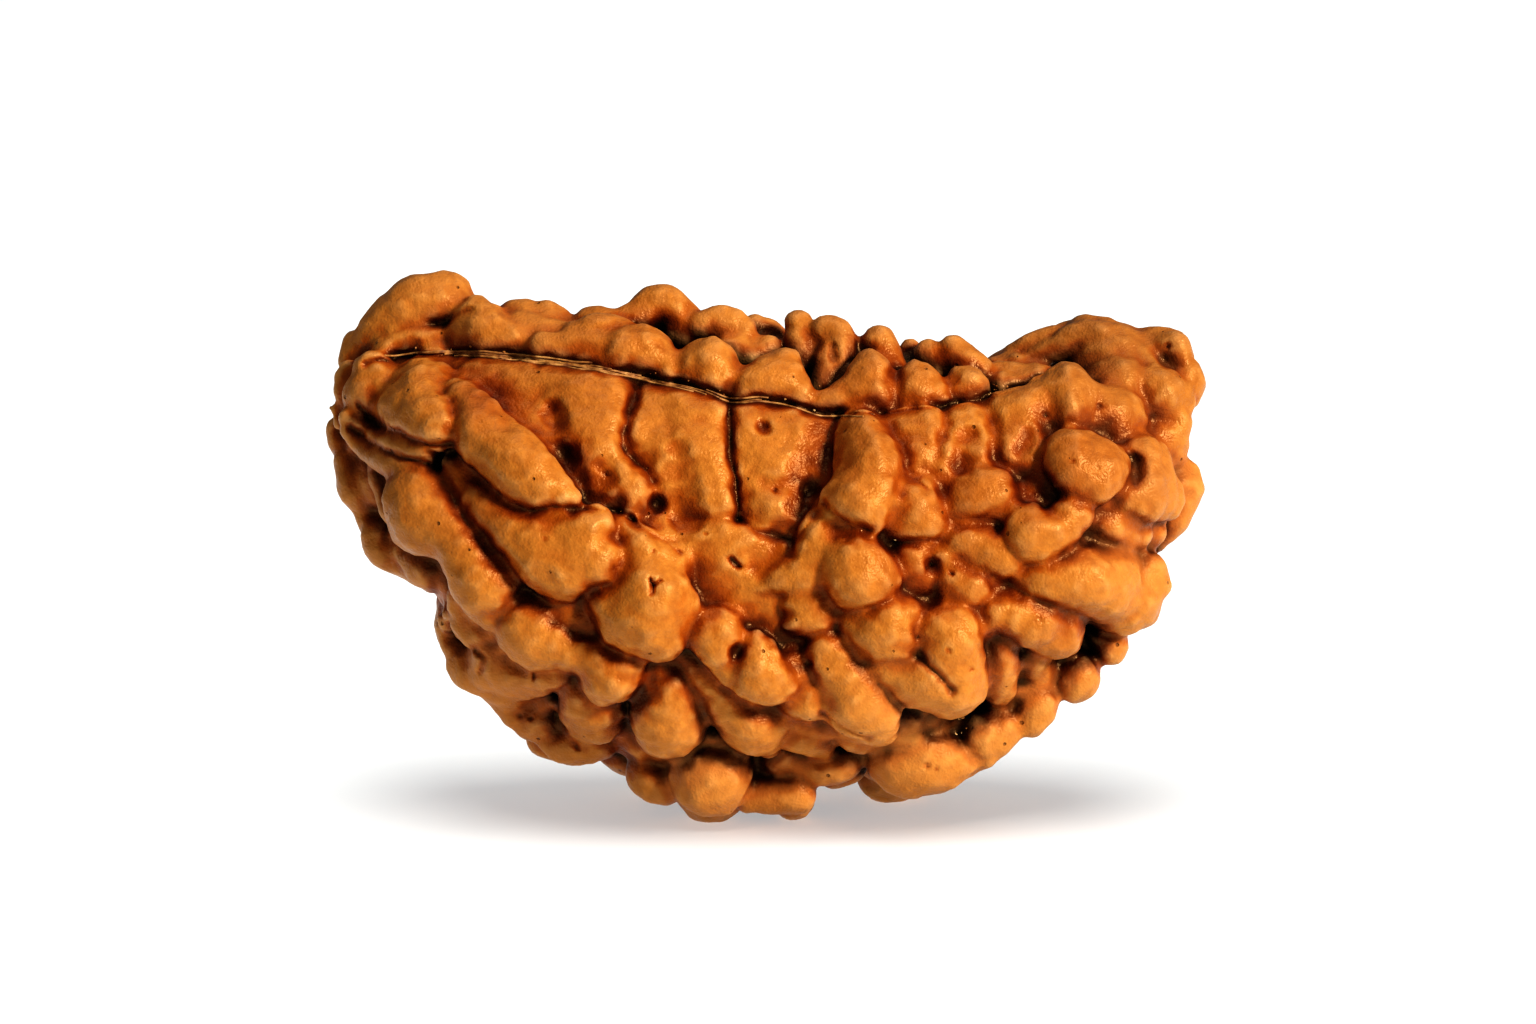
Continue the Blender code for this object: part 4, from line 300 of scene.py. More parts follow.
        (8.8, 8.58), (8.5, 9.2), (8.05, 9.6), (7.53, 9.64), (6.9, 9.65)]),
    ("right_g", 0.45, 0.8, [(6.5, 11.45), (7, 11.75), (7.6, 11.82), (8.1, 11.6), (8.5, 11.05),
        (8.4, 10.5), (8, 10.15), (7.2, 10.2), (6.4, 10.2), (6.1, 10.7)]),
    ("right_h", 0.1, 0.6, [(6.15, 10.35), (7.17, 10.35), (7.96, 10.17), (8.2, 9.73), (7.6, 9.45),
        (6.65, 9.45), (6.05, 9.7)]),
    ("dark_pea", 0.1, 0.4, [(8.45, 11.14), (8.93, 11.36), (9.55, 11.4), (10.03, 11.05), (9.8, 10.7),
        (9.2, 10.6), (8.58, 10.79)]),
    ("heart", 0.95, 0.85, [(8.23, 10.08), (8.58, 10.52), (9.1, 10.52), (9.55, 10.1), (9.75, 10.52),
        (10.25, 10.79), (10.87, 10.6), (11.09, 10.26), (10.69, 9.73), (10.25, 9.29), (9.55, 8.85),
        (8.93, 8.76), (8.49, 9.12), (8.23, 9.56)]),
    ("fist", 1, 1, [(9.6, 12.6), (9.95, 12.98), (10.6, 12.98), (11.3, 12.75), (12, 12.4), (12.3, 11.95),
        (12, 11.3), (11.3, 10.7), (10.6, 10.78), (10.1, 11.05), (9.8, 11.4), (9.62, 11.9)]),
    ("thumb", 0.8, 0.9, [(12.2, 12.37), (12.63, 12.81), (13.15, 12.81), (13.68, 12.28), (13.77, 11.84),
        (14.12, 11.14), (14.03, 10.52), (13.5, 10.17), (12.8, 10.13), (12.28, 10.35), (11.84, 10.7),
        (12.1, 11.14), (12.36, 11.58)]),
    ("thumb_back", -0.9, 0.85, [(13.77, 12.11), (14.21, 12.33), (14.65, 12.11), (15.0, 11.49),
        (15.05, 10.96), (14.74, 10.26), (14.21, 9.56), (13.68, 9.12), (13.2, 9.3), (13.2, 11.0)]),
    ("palm", 0.35, 0.7, [(11.13, 10.26), (11.75, 10.52), (12.28, 10.26), (12.89, 10.08), (13.42, 10.08),
        (13.59, 9.64), (13.24, 9.2), (12.45, 9.12), (11.57, 9.29), (10.96, 9.56)]),
    ("crest", -0.9, 0.95, [(7.44, 15.2), (8.05, 15.85), (8.93, 16.3), (9.8, 16.45), (10.43, 16.85),
        (11.13, 17.1), (11.75, 17.0), (12.45, 16.68), (13.33, 16.55), (14.2, 16.55), (14.56, 16.15),
        (14.6, 15.5), (13.77, 15.0), (13.24, 14.48), (12.8, 13.95), (12.0, 14.48), (11.57, 14.6),
        (10.69, 15.3), (10.08, 15.3), (9.46, 14.97), (8.93, 14.61), (8.23, 14.44), (7.7, 14.31),
        (7.53, 14.92)]),
    ("crest_lobe", 0.0, 0.6, [(7.6, 15.0), (8.4, 15.7), (9.2, 15.5), (9.5, 15.1), (8.76, 14.66),
        (8.05, 14.42)]),
    ("facet", 0.0, 0.75, [(10.69, 15.4), (11.22, 16.0), (12.0, 16.3), (12.8, 16.15), (13.24, 15.36),
        (13.24, 14.48), (12.8, 13.95), (12.0, 14.48), (11.22, 14.83)]),
    ("cheek", -0.6, 0.65, [(13.77, 15.2), (14.21, 15.45), (14.65, 15.54), (15.0, 15.19), (15.05, 14.57),
        (14.83, 14.04), (14.4, 13.9), (14.0, 14.5)]),
    ("ear", 0.0, 0.85, [(13.24, 14.48), (13.77, 14.83), (14.3, 14.75), (14.56, 14.22), (14.6, 13.6),
        (14.47, 12.9), (14.12, 12.37), (13.77, 12.15), (13.5, 12.5), (13.0, 13.0), (12.9, 13.6)]),
    ("peak", 0.0, 0.85, [(7.63, 14.04), (8.23, 14.37), (8.93, 14.55), (9.46, 14.9), (10.08, 15.25),
        (10.52, 15.25), (11.04, 14.8), (11.57, 14.5), (12.45, 14.3), (12.89, 13.87), (12.89, 13.34),
        (12.45, 12.75), (12.1, 12.42), (11.57, 12.64), (11.04, 12.9), (10.69, 13.0), (10.16, 13.03),
        (9.72, 12.9), (9.68, 12.02), (9.11, 11.67), (8.41, 11.5), (7.88, 11.84), (7.67, 12.37),
        (7.63, 13.25)]),
    ("bun", 0.85, 1.3, [(8.4, 8.05), (8.93, 8.49), (9.8, 8.9), (10.5, 9.15), (11.57, 9.0),
        (12.63, 8.93), (13.42, 8.8), (13.75, 8.23), (13.77, 7.6), (13.33, 7.0), (12.8, 6.38),
        (12.28, 6.34), (11.4, 6.65), (10.69, 7.0), (9.8, 7.35), (8.93, 7.6)]),
    ("finger_e", 0.7, 0.95, [(7.09, 6.9), (7.53, 7.44), (8.05, 7.6), (8.93, 7.46), (9.8, 7.22),
        (10.52, 6.82), (10.72, 6.29), (10.56, 5.77), (10.08, 5.48), (9.37, 5.68), (8.67, 6.03),
        (8.05, 6.38), (7.53, 6.21), (7.17, 6.38)]),
    ("base_e", 0.8, 1.3, [(3.58, 2), (3.78, 3.01), (4.59, 3.52), (5.7, 3.25), (6.62, 2.45), (7.12, 1.7),
        (6.51, 0.95), (5.3, 0.63), (4.09, 0.79)]),
    ("base_f", 0.45, 1.0, [(6.2, 0.95), (7.2, 1.4), (8.2, 2.05), (8.72, 2.7), (8.65, 3.3), (8.3, 3.75),
        (7.8, 3.6), (7.3, 3.9), (6.9, 3.6), (6.7, 3.0), (6.3, 2.4), (6.0, 1.6)]),
]

# A chain is a narrow lobe: its name, its lift and the balls that it is threaded on, each with its radius.
CHAINS = [
    ("crown_heel", -0.9, [(-14.25, 15.5, 0.42), (-14.1, 16.1, 0.45)]),
    ("curl_a", 0.0, [(-14.3, 15.25, 0.3), (-13.7, 15.4, 0.26)]),
    ("curl_b", 0.0, [(-14.5, 14.95, 0.28), (-14.5, 14.4, 0.32), (-14.3, 14.0, 0.28)]),
    ("curl_tip", -0.4, [(-14.87, 13.95, 0.14), (-14.7, 13.75, 0.18), (-14.6, 13.35, 0.22)]),
    ("crest_a", -0.1, [(9.3, 15.6, 0.42), (10.1, 16.0, 0.5), (10.8, 16.4, 0.5), (11.5, 16.45, 0.48)]),
    ("crest_b", -0.3, [(11.4, 16.45, 0.46), (12.3, 16.35, 0.45), (13.1, 16.05, 0.42),
        (14.0, 16.0, 0.52), (14.2, 15.7, 0.5)]),
    ("crest_back", -0.6, [(8.2, 15.5, 0.45), (9.0, 15.95, 0.45), (9.9, 16.4, 0.45)]),
    ("facet_edge", 0.15, [(13.0, 15.9, 0.34), (13.25, 15.3, 0.36), (13.1, 14.7, 0.34)]),
    ("top_01", -0.2, [(-9.0, 16.7, 0.6), (-8.4, 16.95, 0.72), (-7.8, 16.8, 0.68)]),
    ("top_02", -0.2, [(-7.5, 16.95, 0.66), (-7.0, 16.6, 0.62)]),
    ("top_03", -0.1, [(-6.3, 16.6, 0.6), (-5.8, 16.75, 0.68), (-5.1, 16.65, 0.66)]),
    ("top_04", -0.1, [(-4.6, 16.9, 0.66), (-3.7, 17.4, 0.74), (-3.1, 17.1, 0.74), (-2.7, 16.5, 0.76)]),
    ("top_05", -0.2, [(-2.2, 16.75, 0.6), (-1.4, 16.8, 0.66), (-0.85, 16.5, 0.62), (-0.9, 15.9, 0.6)]),
    ("top_06", -0.8, [(-0.35, 16.55, 0.55), (0.2, 16.45, 0.52), (0.5, 16.2, 0.4)]),
    ("top_07", -0.1, [(1.15, 16.8, 0.48), (1.2, 16.1, 0.52), (1.3, 15.4, 0.5)]),
    ("top_08", 0.1, [(2.1, 16.55, 0.55), (2.5, 16.3, 0.66), (2.45, 15.6, 0.74), (2.2, 14.9, 0.66),
        (2.0, 14.5, 0.5)]),
    ("top_09", 0.1, [(3.85, 16.1, 0.62), (4.1, 15.6, 0.68), (4.35, 14.9, 0.6)]),
    ("top_10", -0.8, [(4.95, 15.95, 0.36), (5.1, 15.5, 0.45)]),
    ("top_11", -0.1, [(5.6, 15.7, 0.5), (5.95, 15.3, 0.52)]),
    ("top_12", 0.0, [(6.45, 15.8, 0.56), (6.8, 15.45, 0.62), (7.3, 15.2, 0.5)]),
    ("fold_a", 0.85, [(-14.3, 13.6, 0.28), (-13.5, 13.05, 0.36), (-12.6, 12.6, 0.4),
        (-11.6, 12.3, 0.46)]),
    ("fold_b", 0.7, [(-14.25, 13.1, 0.26), (-13.9, 12.6, 0.3), (-13.3, 12.25, 0.38),
        (-12.6, 11.9, 0.44), (-11.9, 11.8, 0.42)]),
    ("sliver", -0.2, [(-13.3, 11.8, 0.34), (-13.1, 11.0, 0.36), (-12.8, 10.3, 0.4)]),
    ("heel_a", -1.2, [(-14.65, 13.2, 0.44), (-14.45, 12.6, 0.5)]),
    ("heel_b", -1.2, [(-14.2, 12.0, 0.66), (-13.95, 11.3, 0.76), (-13.7, 10.8, 0.66)]),
    ("heel_c", -1.2, [(-13.85, 10.45, 0.34), (-13.6, 9.95, 0.4)]),
    ("heel_e", -0.8, [(-10.7, 7.95, 0.42), (-10.55, 7.3, 0.44)]),
    ("heel_l", -0.7, [(-7.6, 2.6, 0.7), (-6.6, 2.35, 0.72), (-5.6, 2.5, 0.66)]),
    ("right_i", 0.0, [(9.0, 11.9, 0.6), (9.6, 11.4, 0.6), (9.0, 10.8, 0.6), (10.2, 10.9, 0.7),
        (11.2, 10.6, 0.75), (12.2, 10.9, 0.75)]),
    ("bun_lip", 0.3, [(11.2, 7.2, 0.62), (12.0, 7.0, 0.72), (12.8, 7.0, 0.66)]),
    ("leg_d_skin", 0.2, [(-4.2, 2.8, 0.5), (-4.0, 2.3, 0.5)]),
    ("ball", 0.6, [(-1.5, 2.2, 0.9), (-1.87, 1.45, 1.54), (-1.95, 1.25, 1.3)]),
    ("ball_back", -0.1, [(-4.15, 1.6, 0.7), (-3.95, 1.2, 0.8), (-3.4, 1.1, 0.8)]),
    ("base_a", 0.0, [(-0.5, 0.75, 0.72), (0.3, 0.65, 0.75), (1.0, 0.75, 0.75)]),
    ("base_b", 0.35, [(0.9, 2.75, 0.6), (1.4, 2.7, 0.68), (1.9, 2.5, 0.6)]),
    ("base_c", 0.45, [(1.35, 1.75, 0.6), (1.9, 1.65, 0.68), (2.5, 1.75, 0.66), (2.95, 2.05, 0.5)]),
    ("worm_foot", 0.45, [(2.5, 10.2, 0.5), (3.1, 9.9, 0.5), (3.8, 9.75, 0.42)]),
    ("bulb_join", 0.75, [(5.1, 6.9, 0.42), (5.15, 6.3, 0.48), (5.2, 5.7, 0.42)]),
    ("top_13", -0.2, [(-1.2, 15.95, 0.45), (-0.5, 15.65, 0.5), (0.1, 15.95, 0.45)]),
    ("finger_d_tail", 0.5, [(-10.7, 12.0, 0.26), (-10.3, 11.4, 0.42), (-9.75, 10.8, 0.55),
        (-9.1, 10.2, 0.66)]),
    ("finger_f", 0.45, [(9.15, 5.45, 0.55), (9.3, 4.7, 0.7), (9.3, 3.9, 0.72), (9.08, 3.2, 0.6)]),
    ("finger_g", 0.45, [(8.0, 5.9, 0.55), (8.0, 5.2, 0.68), (8.0, 4.4, 0.62), (7.95, 3.85, 0.42)]),
    ("pea_a", 0.3, [(11.5, 6.15, 0.5), (11.8, 5.85, 0.64), (11.85, 5.65, 0.62)]),
    ("pea_b", 0.35, [(10.25, 4.9, 0.6), (10.65, 4.75, 0.85), (10.6, 4.5, 0.75)]),
    ("fill_a", 0.75, [(-7.4, 7.6, 0.5), (-6.6, 7.0, 0.6), (-6.0, 6.6, 0.5)]),
    ("fill_b", 0.35, [(2.35, 7.3, 0.36), (2.55, 6.6, 0.4)]),
    ("fill_c", 0.3, [(8.1, 7.95, 0.34), (8.75, 7.95, 0.32)]),
    ("fill_d", 0.2, [(8.1, 10.2, 0.34), (8.15, 9.8, 0.36)]),
    ("fill_e", 0.6, [(2.35, 9.95, 0.38), (2.8, 9.6, 0.42)]),
    ("fill_f", 0.35, [(-7.6, 10.5, 0.3), (-6.5, 10.45, 0.32), (-5.4, 10.4, 0.32)]),
    ("fill_g", 0.3, [(1.0, 3.2, 0.4), (1.8, 3.1, 0.4), (2.3, 2.9, 0.32)]),
    ("fill_h", 0.2, [(-2.1, 2.75, 0.38), (-1.4, 2.8, 0.38)]),
    ("fill_i", 0.1, [(-4.9, 3.1, 0.4), (-4.8, 2.4, 0.4), (-3.6, 1.75, 0.42)]),
    ("fill_j", 0.5, [(-10.5, 11.9, 0.34), (-9.9, 11.5, 0.42), (-9.1, 11.0, 0.42), (-8.3, 10.6, 0.34)]),
    ("fill_k", -0.2, [(10.7, 5.95, 0.45), (11.2, 5.55, 0.5)]),
    ("fill_l", 0.3, [(5.6, 3.3, 0.5), (6.4, 3.25, 0.6), (7.2, 3.6, 0.5)]),
    ("fill_seam", 0.0, [(-0.9, 14.12, 0.34), (0.2, 14.02, 0.4), (1.2, 13.88, 0.4), (2.2, 13.6, 0.4),
        (3.2, 13.6, 0.4), (4.3, 13.7, 0.4), (5.2, 13.78, 0.4), (6.2, 13.9, 0.4), (7.2, 14.1, 0.36)]),
    ("base_d", -0.4, [(2.3, 1.35, 0.55), (2.9, 1.6, 0.5)]),
]

# These stand upright behind the seam, from this height up or from their lower edge if that is higher.
STANDING = {
    "rim": 0.0, "rim_wall": 0.0, "rise_a": 0.0, "rise_b": 0.0, "rise_c": 0.0, "rise_d": 0.0, "rise_e": 0.0,
    "peak": 13.0,
    "top_01": 15.8, "top_02": 15.8, "top_03": 15.7, "top_04": 15.7, "top_05": 15.2, "top_06": 15.6,
    "top_07": 14.9, "top_08": 14.6, "top_09": 14.5, "top_10": 14.8, "top_11": 14.7, "top_12": 14.6,
    "top_13": 15.0,
}

# Swellings that fill the body under the lobes: x, y, z, radius.
SWELLINGS = [
    (-12.4, 1.2, 14.6, 1.35), (-9.6, 1.5, 15.0, 1.4), (-6.6, 1.8, 15.0, 1.5), (-3.6, 1.8, 15.0, 1.5),
    (-1.0, 1.8, 14.6, 1.5), (1.6, 1.8, 14.3, 1.5), (4.2, 1.8, 14.0, 1.4), (6.6, 1.6, 13.8, 1.4),
    (9.2, 1.2, 14.2, 1.4), (12.0, 0.9, 14.6, 1.3), (13.4, 0.9, 14.5, 1.1), (13.3, 0.8, 12.8, 1.3),
    (13.0, 0.8, 11.0, 1.4), (-13.3, 0.9, 13.2, 1.2), (-12.9, 0.9, 11.6, 1.4), (-11.6, 0.8, 9.6, 1.5),
    (-9.8, 0.6, 6.6, 1.7), (-7.4, 0.6, 4.2, 1.7), (9.6, 0.6, 5.4, 1.7), (12.0, 0.6, 8.2, 1.7),
    (-4.4, 0.6, 2.6, 1.6), (4.2, 0.8, 2.4, 1.6), (7.2, 0.7, 3.6, 1.6), (-13.6, 0.2, 14.6, 0.9),
    (0.0, 0.9, 2.2, 1.6), (11.0, 0.5, 6.7, 1.0), (-11.2, 0.8, 15.2, 1.1), (-13.4, 0.5, 15.4, 0.8),
    (0.0, 1.6, 15.6, 0.9),
]
# The lobes that carry the bead, flat where they meet the resting plane: their balls as x, y, z, radius.
FEET = [
    [(-1.9, -1.1, 1.15, 1.3)],
    [(1.0, -0.9, 0.75, 0.85)],
    [(0.6, 1.2, 1.3, 1.1)],
    [(-4.7, 2.6, 2.4, 0.9), (-4.1, 2.1, 1.4, 1.0)],
    [(-2.4, 3.6, 2.9, 0.95), (-2.3, 2.7, 1.4, 1.2), (-2.1, 1.9, 1.1, 1.2)],
    [(-0.2, 3.3, 2.3, 0.85), (0.1, 2.4, 1.3, 1.0)],
    [(2.3, 3.4, 2.6, 0.95), (2.2, 2.3, 1.5, 1.05)],
    [(4.7, 3.6, 2.9, 0.95), (4.6, 2.7, 1.2, 1.2), (4.3, 1.9, 1.0, 1.2)],
    [(6.7, 2.8, 3.2, 0.9), (6.4, 2.0, 2.3, 1.0)],
]
# The far side, which the seam side hides: rows of drop-shaped lobes that fan out from above the top edge to
# the belly. Each row is its height between belly (0) and top edge (1), and its number of lobes. How the
# lobes bend, lean and swell within the limits below is drawn from SEED.
BACK_ROWS = [(0.03, 7), (0.22, 9), (0.41, 10), (0.6, 11), (0.8, 11)]
BACK_HALF_LENGTH = 13.0
BACK_FAN_CENTRE = 27.0
BACK_STAGGER = 0.25
BACK_NARROW = 0.28
BACK_RADII = (0.78, 1.02)
BACK_LENGTHS = (1.6, 2.7)
BACK_LIFTS = (0.1, 0.45)
BACK_SCATTER = 0.4
BACK_SCATTER_UP = 0.3
BACK_LEAN = 0.22
BACK_BEND = 0.25
BACK_TOP_OVER = 0.4
# One drop-shaped lobe: where along it each ball is, and its share of the radius.
DROP = [(-0.5, 0.7), (0.05, 1.0), (0.5, 0.92)]
# The underside: rows of short lobes at these depths, with their number, and one lobe's steps and radii.
UNDER_ROWS = [(-1.4, 9), (1.0, 9), (3.0, 8)]
UNDER_LOBE = [(-1, 0.7), (0, 0.9), (1, 0.75)]
UNDER_HALF_LENGTH = 9.5
UNDER_PLACE = (0.3, 0.7)
UNDER_ASIDE = (-0.5, 0.5)
UNDER_BACK = (0.4, 0.9)
UNDER_SWELL = (0.9, 1.2)

# Broad forms pressed in, or raised where the depth is negative, before the last remesh: half width, depth,
# course.
HOLLOWS = [
    (1.1, -0.45, [(-5.7, 14.4), (-5.45, 13.3), (-5.3, 12.3), (-4.9, 11.4)]),
    (1.3, 0.45, [(-9.2, 14.5), (-8.0, 13.9)]),
    (0.5, 0.55, [(-7.2, 13.6)]),
    (0.45, 0.5, [(-6.72, 12.2)]),
    (0.4, 0.3, [(-5.4, 11.9), (-5.4, 11.5)]),
    (0.9, -0.35, [(-2.2, 14.0), (-2.0, 12.8), (-1.9, 11.5), (-1.8, 10.4)]),
    (0.6, 0.55, [(-2.9, 11.6), (-2.8, 11.0), (-2.65, 10.2)]),
    (0.3, 0.5, [(-3.62, 10.6)]),
    (0.35, 0.3, [(-2.95, 12.5)]),
    (0.9, 0.6, [(2.35, 12.9), (2.1, 12.1), (1.5, 11.2)]),
    (0.5, 0.3, [(2.45, 12.3)]),
    (0.32, 0.55, [(1.52, 11.15)]),
    (0.4, 0.3, [(0.25, 11.2)]),
    (0.6, -0.25, [(0.2, 10.6)]),
    (0.28, 0.55, [(-0.07, 13.17)]),
    (0.5, 0.3, [(0.3, 9.1), (-0.3, 8.7)]),
    (0.9, -0.35, [(-4.2, 9.6), (-4.1, 8.0), (-3.9, 6.6)]),
    (0.35, 0.2, [(-5.5, 9.5)]),
    (0.5, -0.3, [(10.3, 14.9), (10.4, 13.4)]),
    (0.45, 0.35, [(9.7, 14.2), (9.6, 13.3)]),
    (0.6, 0.35, [(11.4, 13.95), (11.5, 13.4)]),
    (0.3, 0.45, [(8.95, 12.95), (8.65, 12.45)]),
    (0.4, 0.5, [(6.85, 12.9), (6.65, 12.0)]),
    (0.45, 0.5, [(12.4, 11.85)]),
    (0.4, 0.15, [(6.6, 2.75)]),
    (0.25, 0.45, [(0.64, 6.87)]),
    (0.25, 0.5, [(-1.0, 5.6)]),
    (0.3, 0.45, [(-12.54, 14.95)]),
    (0.16, 0.4, [(2.33, 16.0), (2.35, 15.6)]),
    (0.4, 0.15, [(-3.4, 16.8)]),
    (0.3, 0.4, [(5.65, 8.55)]),
    (0.9, -0.2, [(5.0, 10.6), (5.2, 9.9)]),
    (0.5, 0.3, [(-7.6, 7.9), (-6.9, 7.0), (-6.2, 6.6)]),
]
# Creases pressed in last, sharp at the bottom: half width, depth, course.
CREASES = [
    (0.24, 0.32, [(-13.6, 15.4), (-12.0, 15.65), (-10.0, 15.72), (-9.0, 15.62), (-8.0, 15.52),
        (-7.0, 15.42), (-6.0, 15.27), (-5.0, 15.1), (-4.0, 14.92), (-3.0, 14.72)]),
    (0.2, 0.28, [(-3.0, 14.72), (-2.0, 14.5), (-1.0, 14.12), (0.0, 14.15), (1.0, 13.95), (2.0, 13.66),
        (4.0, 13.67), (5.0, 13.8), (6.0, 13.93), (7.0, 14.08), (7.6, 14.3)]),
    (0.22, 0.25, [(7.6, 14.3), (8.5, 14.45), (9.3, 14.85), (10.0, 15.25)]),
    (0.26, 0.26, [(-4.4, 14.6), (-4.65, 13.6), (-4.85, 13.0), (-4.7, 12.3), (-4.1, 11.8),
        (-3.8, 11.3)]),
    (0.15, 0.26, [(-1.2, 14.05), (-1.18, 13.0), (-1.12, 12.0), (-1.03, 11.3), (-0.9, 10.05)]),
    (0.2, 0.2, [(-0.9, 10.05), (-0.2, 9.66), (0.4, 9.5), (0.9, 9.35)]),
    (0.2, 0.22, [(2.0, 10.6), (1.5, 9.95), (1.02, 9.35), (0.88, 8.85)]),
    (0.2, 0.2, [(2.05, 10.5), (2.7, 10.1), (3.5, 9.7)]),
    (0.22, 0.25, [(-7.8, 10.42), (-6.9, 10.5), (-6.1, 10.48), (-5.2, 10.38), (-4.5, 10.0)]),
    (0.2, 0.22, [(-4.6, 10.1), (-4.2, 9.75), (-3.5, 9.42), (-2.8, 9.02)]),
    (0.2, 0.22, [(4.9, 11.55), (5.5, 11.1)]),
    (0.22, 0.25, [(4.05, 9.3), (5.2, 9.32), (5.9, 9.4)]),
    (0.2, 0.25, [(5.2, 5.45), (5.75, 4.9), (6.3, 4.3)]),
    (0.16, 0.2, [(2.0, 3.5), (2.8, 2.95), (3.6, 2.6)]),
    (0.22, 0.25, [(-10.1, 17.25), (-10.7, 16.98), (-11.4, 16.75)]),
    (0.2, 0.12, [(-11.4, 16.75), (-12.3, 16.65), (-13.0, 16.35), (-13.4, 15.9)]),
    (0.14, 0.25, [(-14.2, 13.25), (-13.4, 12.66), (-12.4, 12.25), (-11.5, 12.02)]),
    (0.16, 0.3, [(-13.9, 13.95), (-13.2, 13.35), (-12.3, 12.95), (-11.4, 12.62), (-10.6, 12.62)]),
    (0.12, 0.26, [(-1.1, 8.72), (-0.9, 8.52)]),
    (0.1, 0.24, [(-3.82, 8.1), (-3.78, 7.85), (-3.84, 7.6)]),
    (0.09, 0.15, [(-3.78, 7.85), (-3.5, 8.0)]),
    (0.14, 0.2, [(-9.9, 5.7), (-9.6, 5.4), (-9.7, 5.0)]),
]
# Small pits in the skin: half width, depth, course.
PITS = [
    (0.13, 0.2, [(-5.4, 11.7)]), (0.1, 0.15, [(-7.4, 9.4)]), (0.12, 0.15, [(-3.8, 9.08)]),
    (0.12, 0.2, [(0.3, 11.1)]), (0.12, 0.2, [(5.6, 8.55)]), (0.1, 0.2, [(6.35, 8.25)]),
    (0.12, 0.2, [(1.5, 5.2)]), (0.12, 0.2, [(6.15, 5.7)]), (0.12, 0.2, [(6.95, 5.0)]),
    (0.1, 0.2, [(5.1, 6.1)]), (0.14, 0.2, [(5.45, 1.72)]), (0.1, 0.15, [(5.85, 1.65)]),
    (0.1, 0.2, [(-9.6, 5.05)]), (0.1, 0.2, [(-7.8, 4.85), (-7.85, 4.65)]), (0.12, 0.2, [(-8.0, 3.3)]),
    (0.1, 0.2, [(-8.4, 3.35)]), (0.12, 0.2, [(11.4, 13.91)]), (0.1, 0.2, [(10.4, 12.0)]),
    (0.14, 0.2, [(13.8, 16.05)]), (0.14, 0.2, [(8.8, 15.85)]), (0.1, 0.2, [(9.55, 13.6)]),
    (0.1, 0.2, [(-6.5, 2.35), (-6.45, 2.2)]), (0.1, 0.2, [(-2.0, 9.6)]),
]

# The course of the dry fibres that lie in the seam.
SEAM = [(-13.0, 15.62), (-12.0, 15.68), (-10.4, 15.74), (-9.0, 15.64), (-8.0, 15.54), (-7.0, 15.42),
    (-6.0, 15.27), (-5.0, 15.1), (-4.0, 14.9), (-3.0, 14.68), (-2.0, 14.42), (-1.1, 14.1), (0.0, 14.14),
    (1.0, 13.96), (2.0, 13.68), (4.0, 13.68), (5.0, 13.78), (6.0, 13.92)]
# Soft round spots of the view, each with its reach and its amount: where crumbs have caught, where the skin
# is paler and drier, where it is duller, and where painted shade darkens it, with some oil-darkened skin.
CRUMB_SPOTS = [
    (-10.9, 15.7, 1.0, 1.0), (-9.6, 15.7, 1.2, 0.8), (-10.6, 14.9, 0.6, 0.6), (-7.2, 10.4, 0.8, 0.9),
    (-12.1, 11.7, 0.8, 0.6), (-3.2, 14.5, 1.0, 0.6), (2.2, 13.8, 1.4, 0.8), (7.7, 14.3, 0.7, 0.9),
    (8.6, 11.5, 1.0, 1.0), (6.5, 11.4, 0.8, 0.8), (6.0, 10.0, 0.8, 0.7), (12.9, 13.6, 0.8, 0.6),
    (10.0, 9.2, 1.2, 0.7), (5.0, 9.35, 0.9, 0.8), (-5.0, 10.2, 0.8, 0.4), (11.9, 11.0, 0.7, 0.7),
    (2.9, 9.5, 0.5, 0.6), (-8.0, 3.2, 0.8, 0.4), (6.2, 2.9, 0.7, 0.6), (9.9, 13.0, 0.8, 0.5),
    (0.0, 14.2, 1.2, 0.6), (5.2, 13.7, 1.0, 0.6), (-1.7, 14.4, 0.8, 0.5), (3.2, 15.0, 1.0, 0.3),
]
DRY_SPOTS = [
    (12.8, 8.0, 2.2, 0.6), (-2.0, 1.4, 1.8, 0.9), (4.8, 2.4, 2.6, 0.9), (7.4, 2.6, 1.8, 0.8),
    (9.2, 3.8, 1.8, 0.6), (-9.0, 4.8, 2.0, 0.35), (14.6, 11.2, 1.6, 0.8), (-11.3, 17.8, 1.6, 0.4),
    (0.5, 0.9, 1.6, 0.5), (2.4, 15.6, 1.0, 0.4), (-7.8, 17.0, 1.6, 0.4), (-1.2, 16.6, 1.4, 0.3),
    (10.6, 4.6, 1.4, 0.3),
]
DULL_SPOTS = [
    (11.6, 16.2, 2.6, 1.0), (13.6, 15.4, 1.8, 0.7), (12.2, 15.2, 1.2, 0.6), (9.0, 15.9, 1.6, 0.8),
    (-13.6, 11.4, 2.2, 0.6), (-12.6, 9.0, 1.8, 0.6), (-10.4, 6.0, 1.2, 0.5), (-14.2, 14.6, 1.2, 0.5),
    (-6.6, 2.6, 1.6, 0.4), (13.1, 11.3, 0.8, 0.4),
]
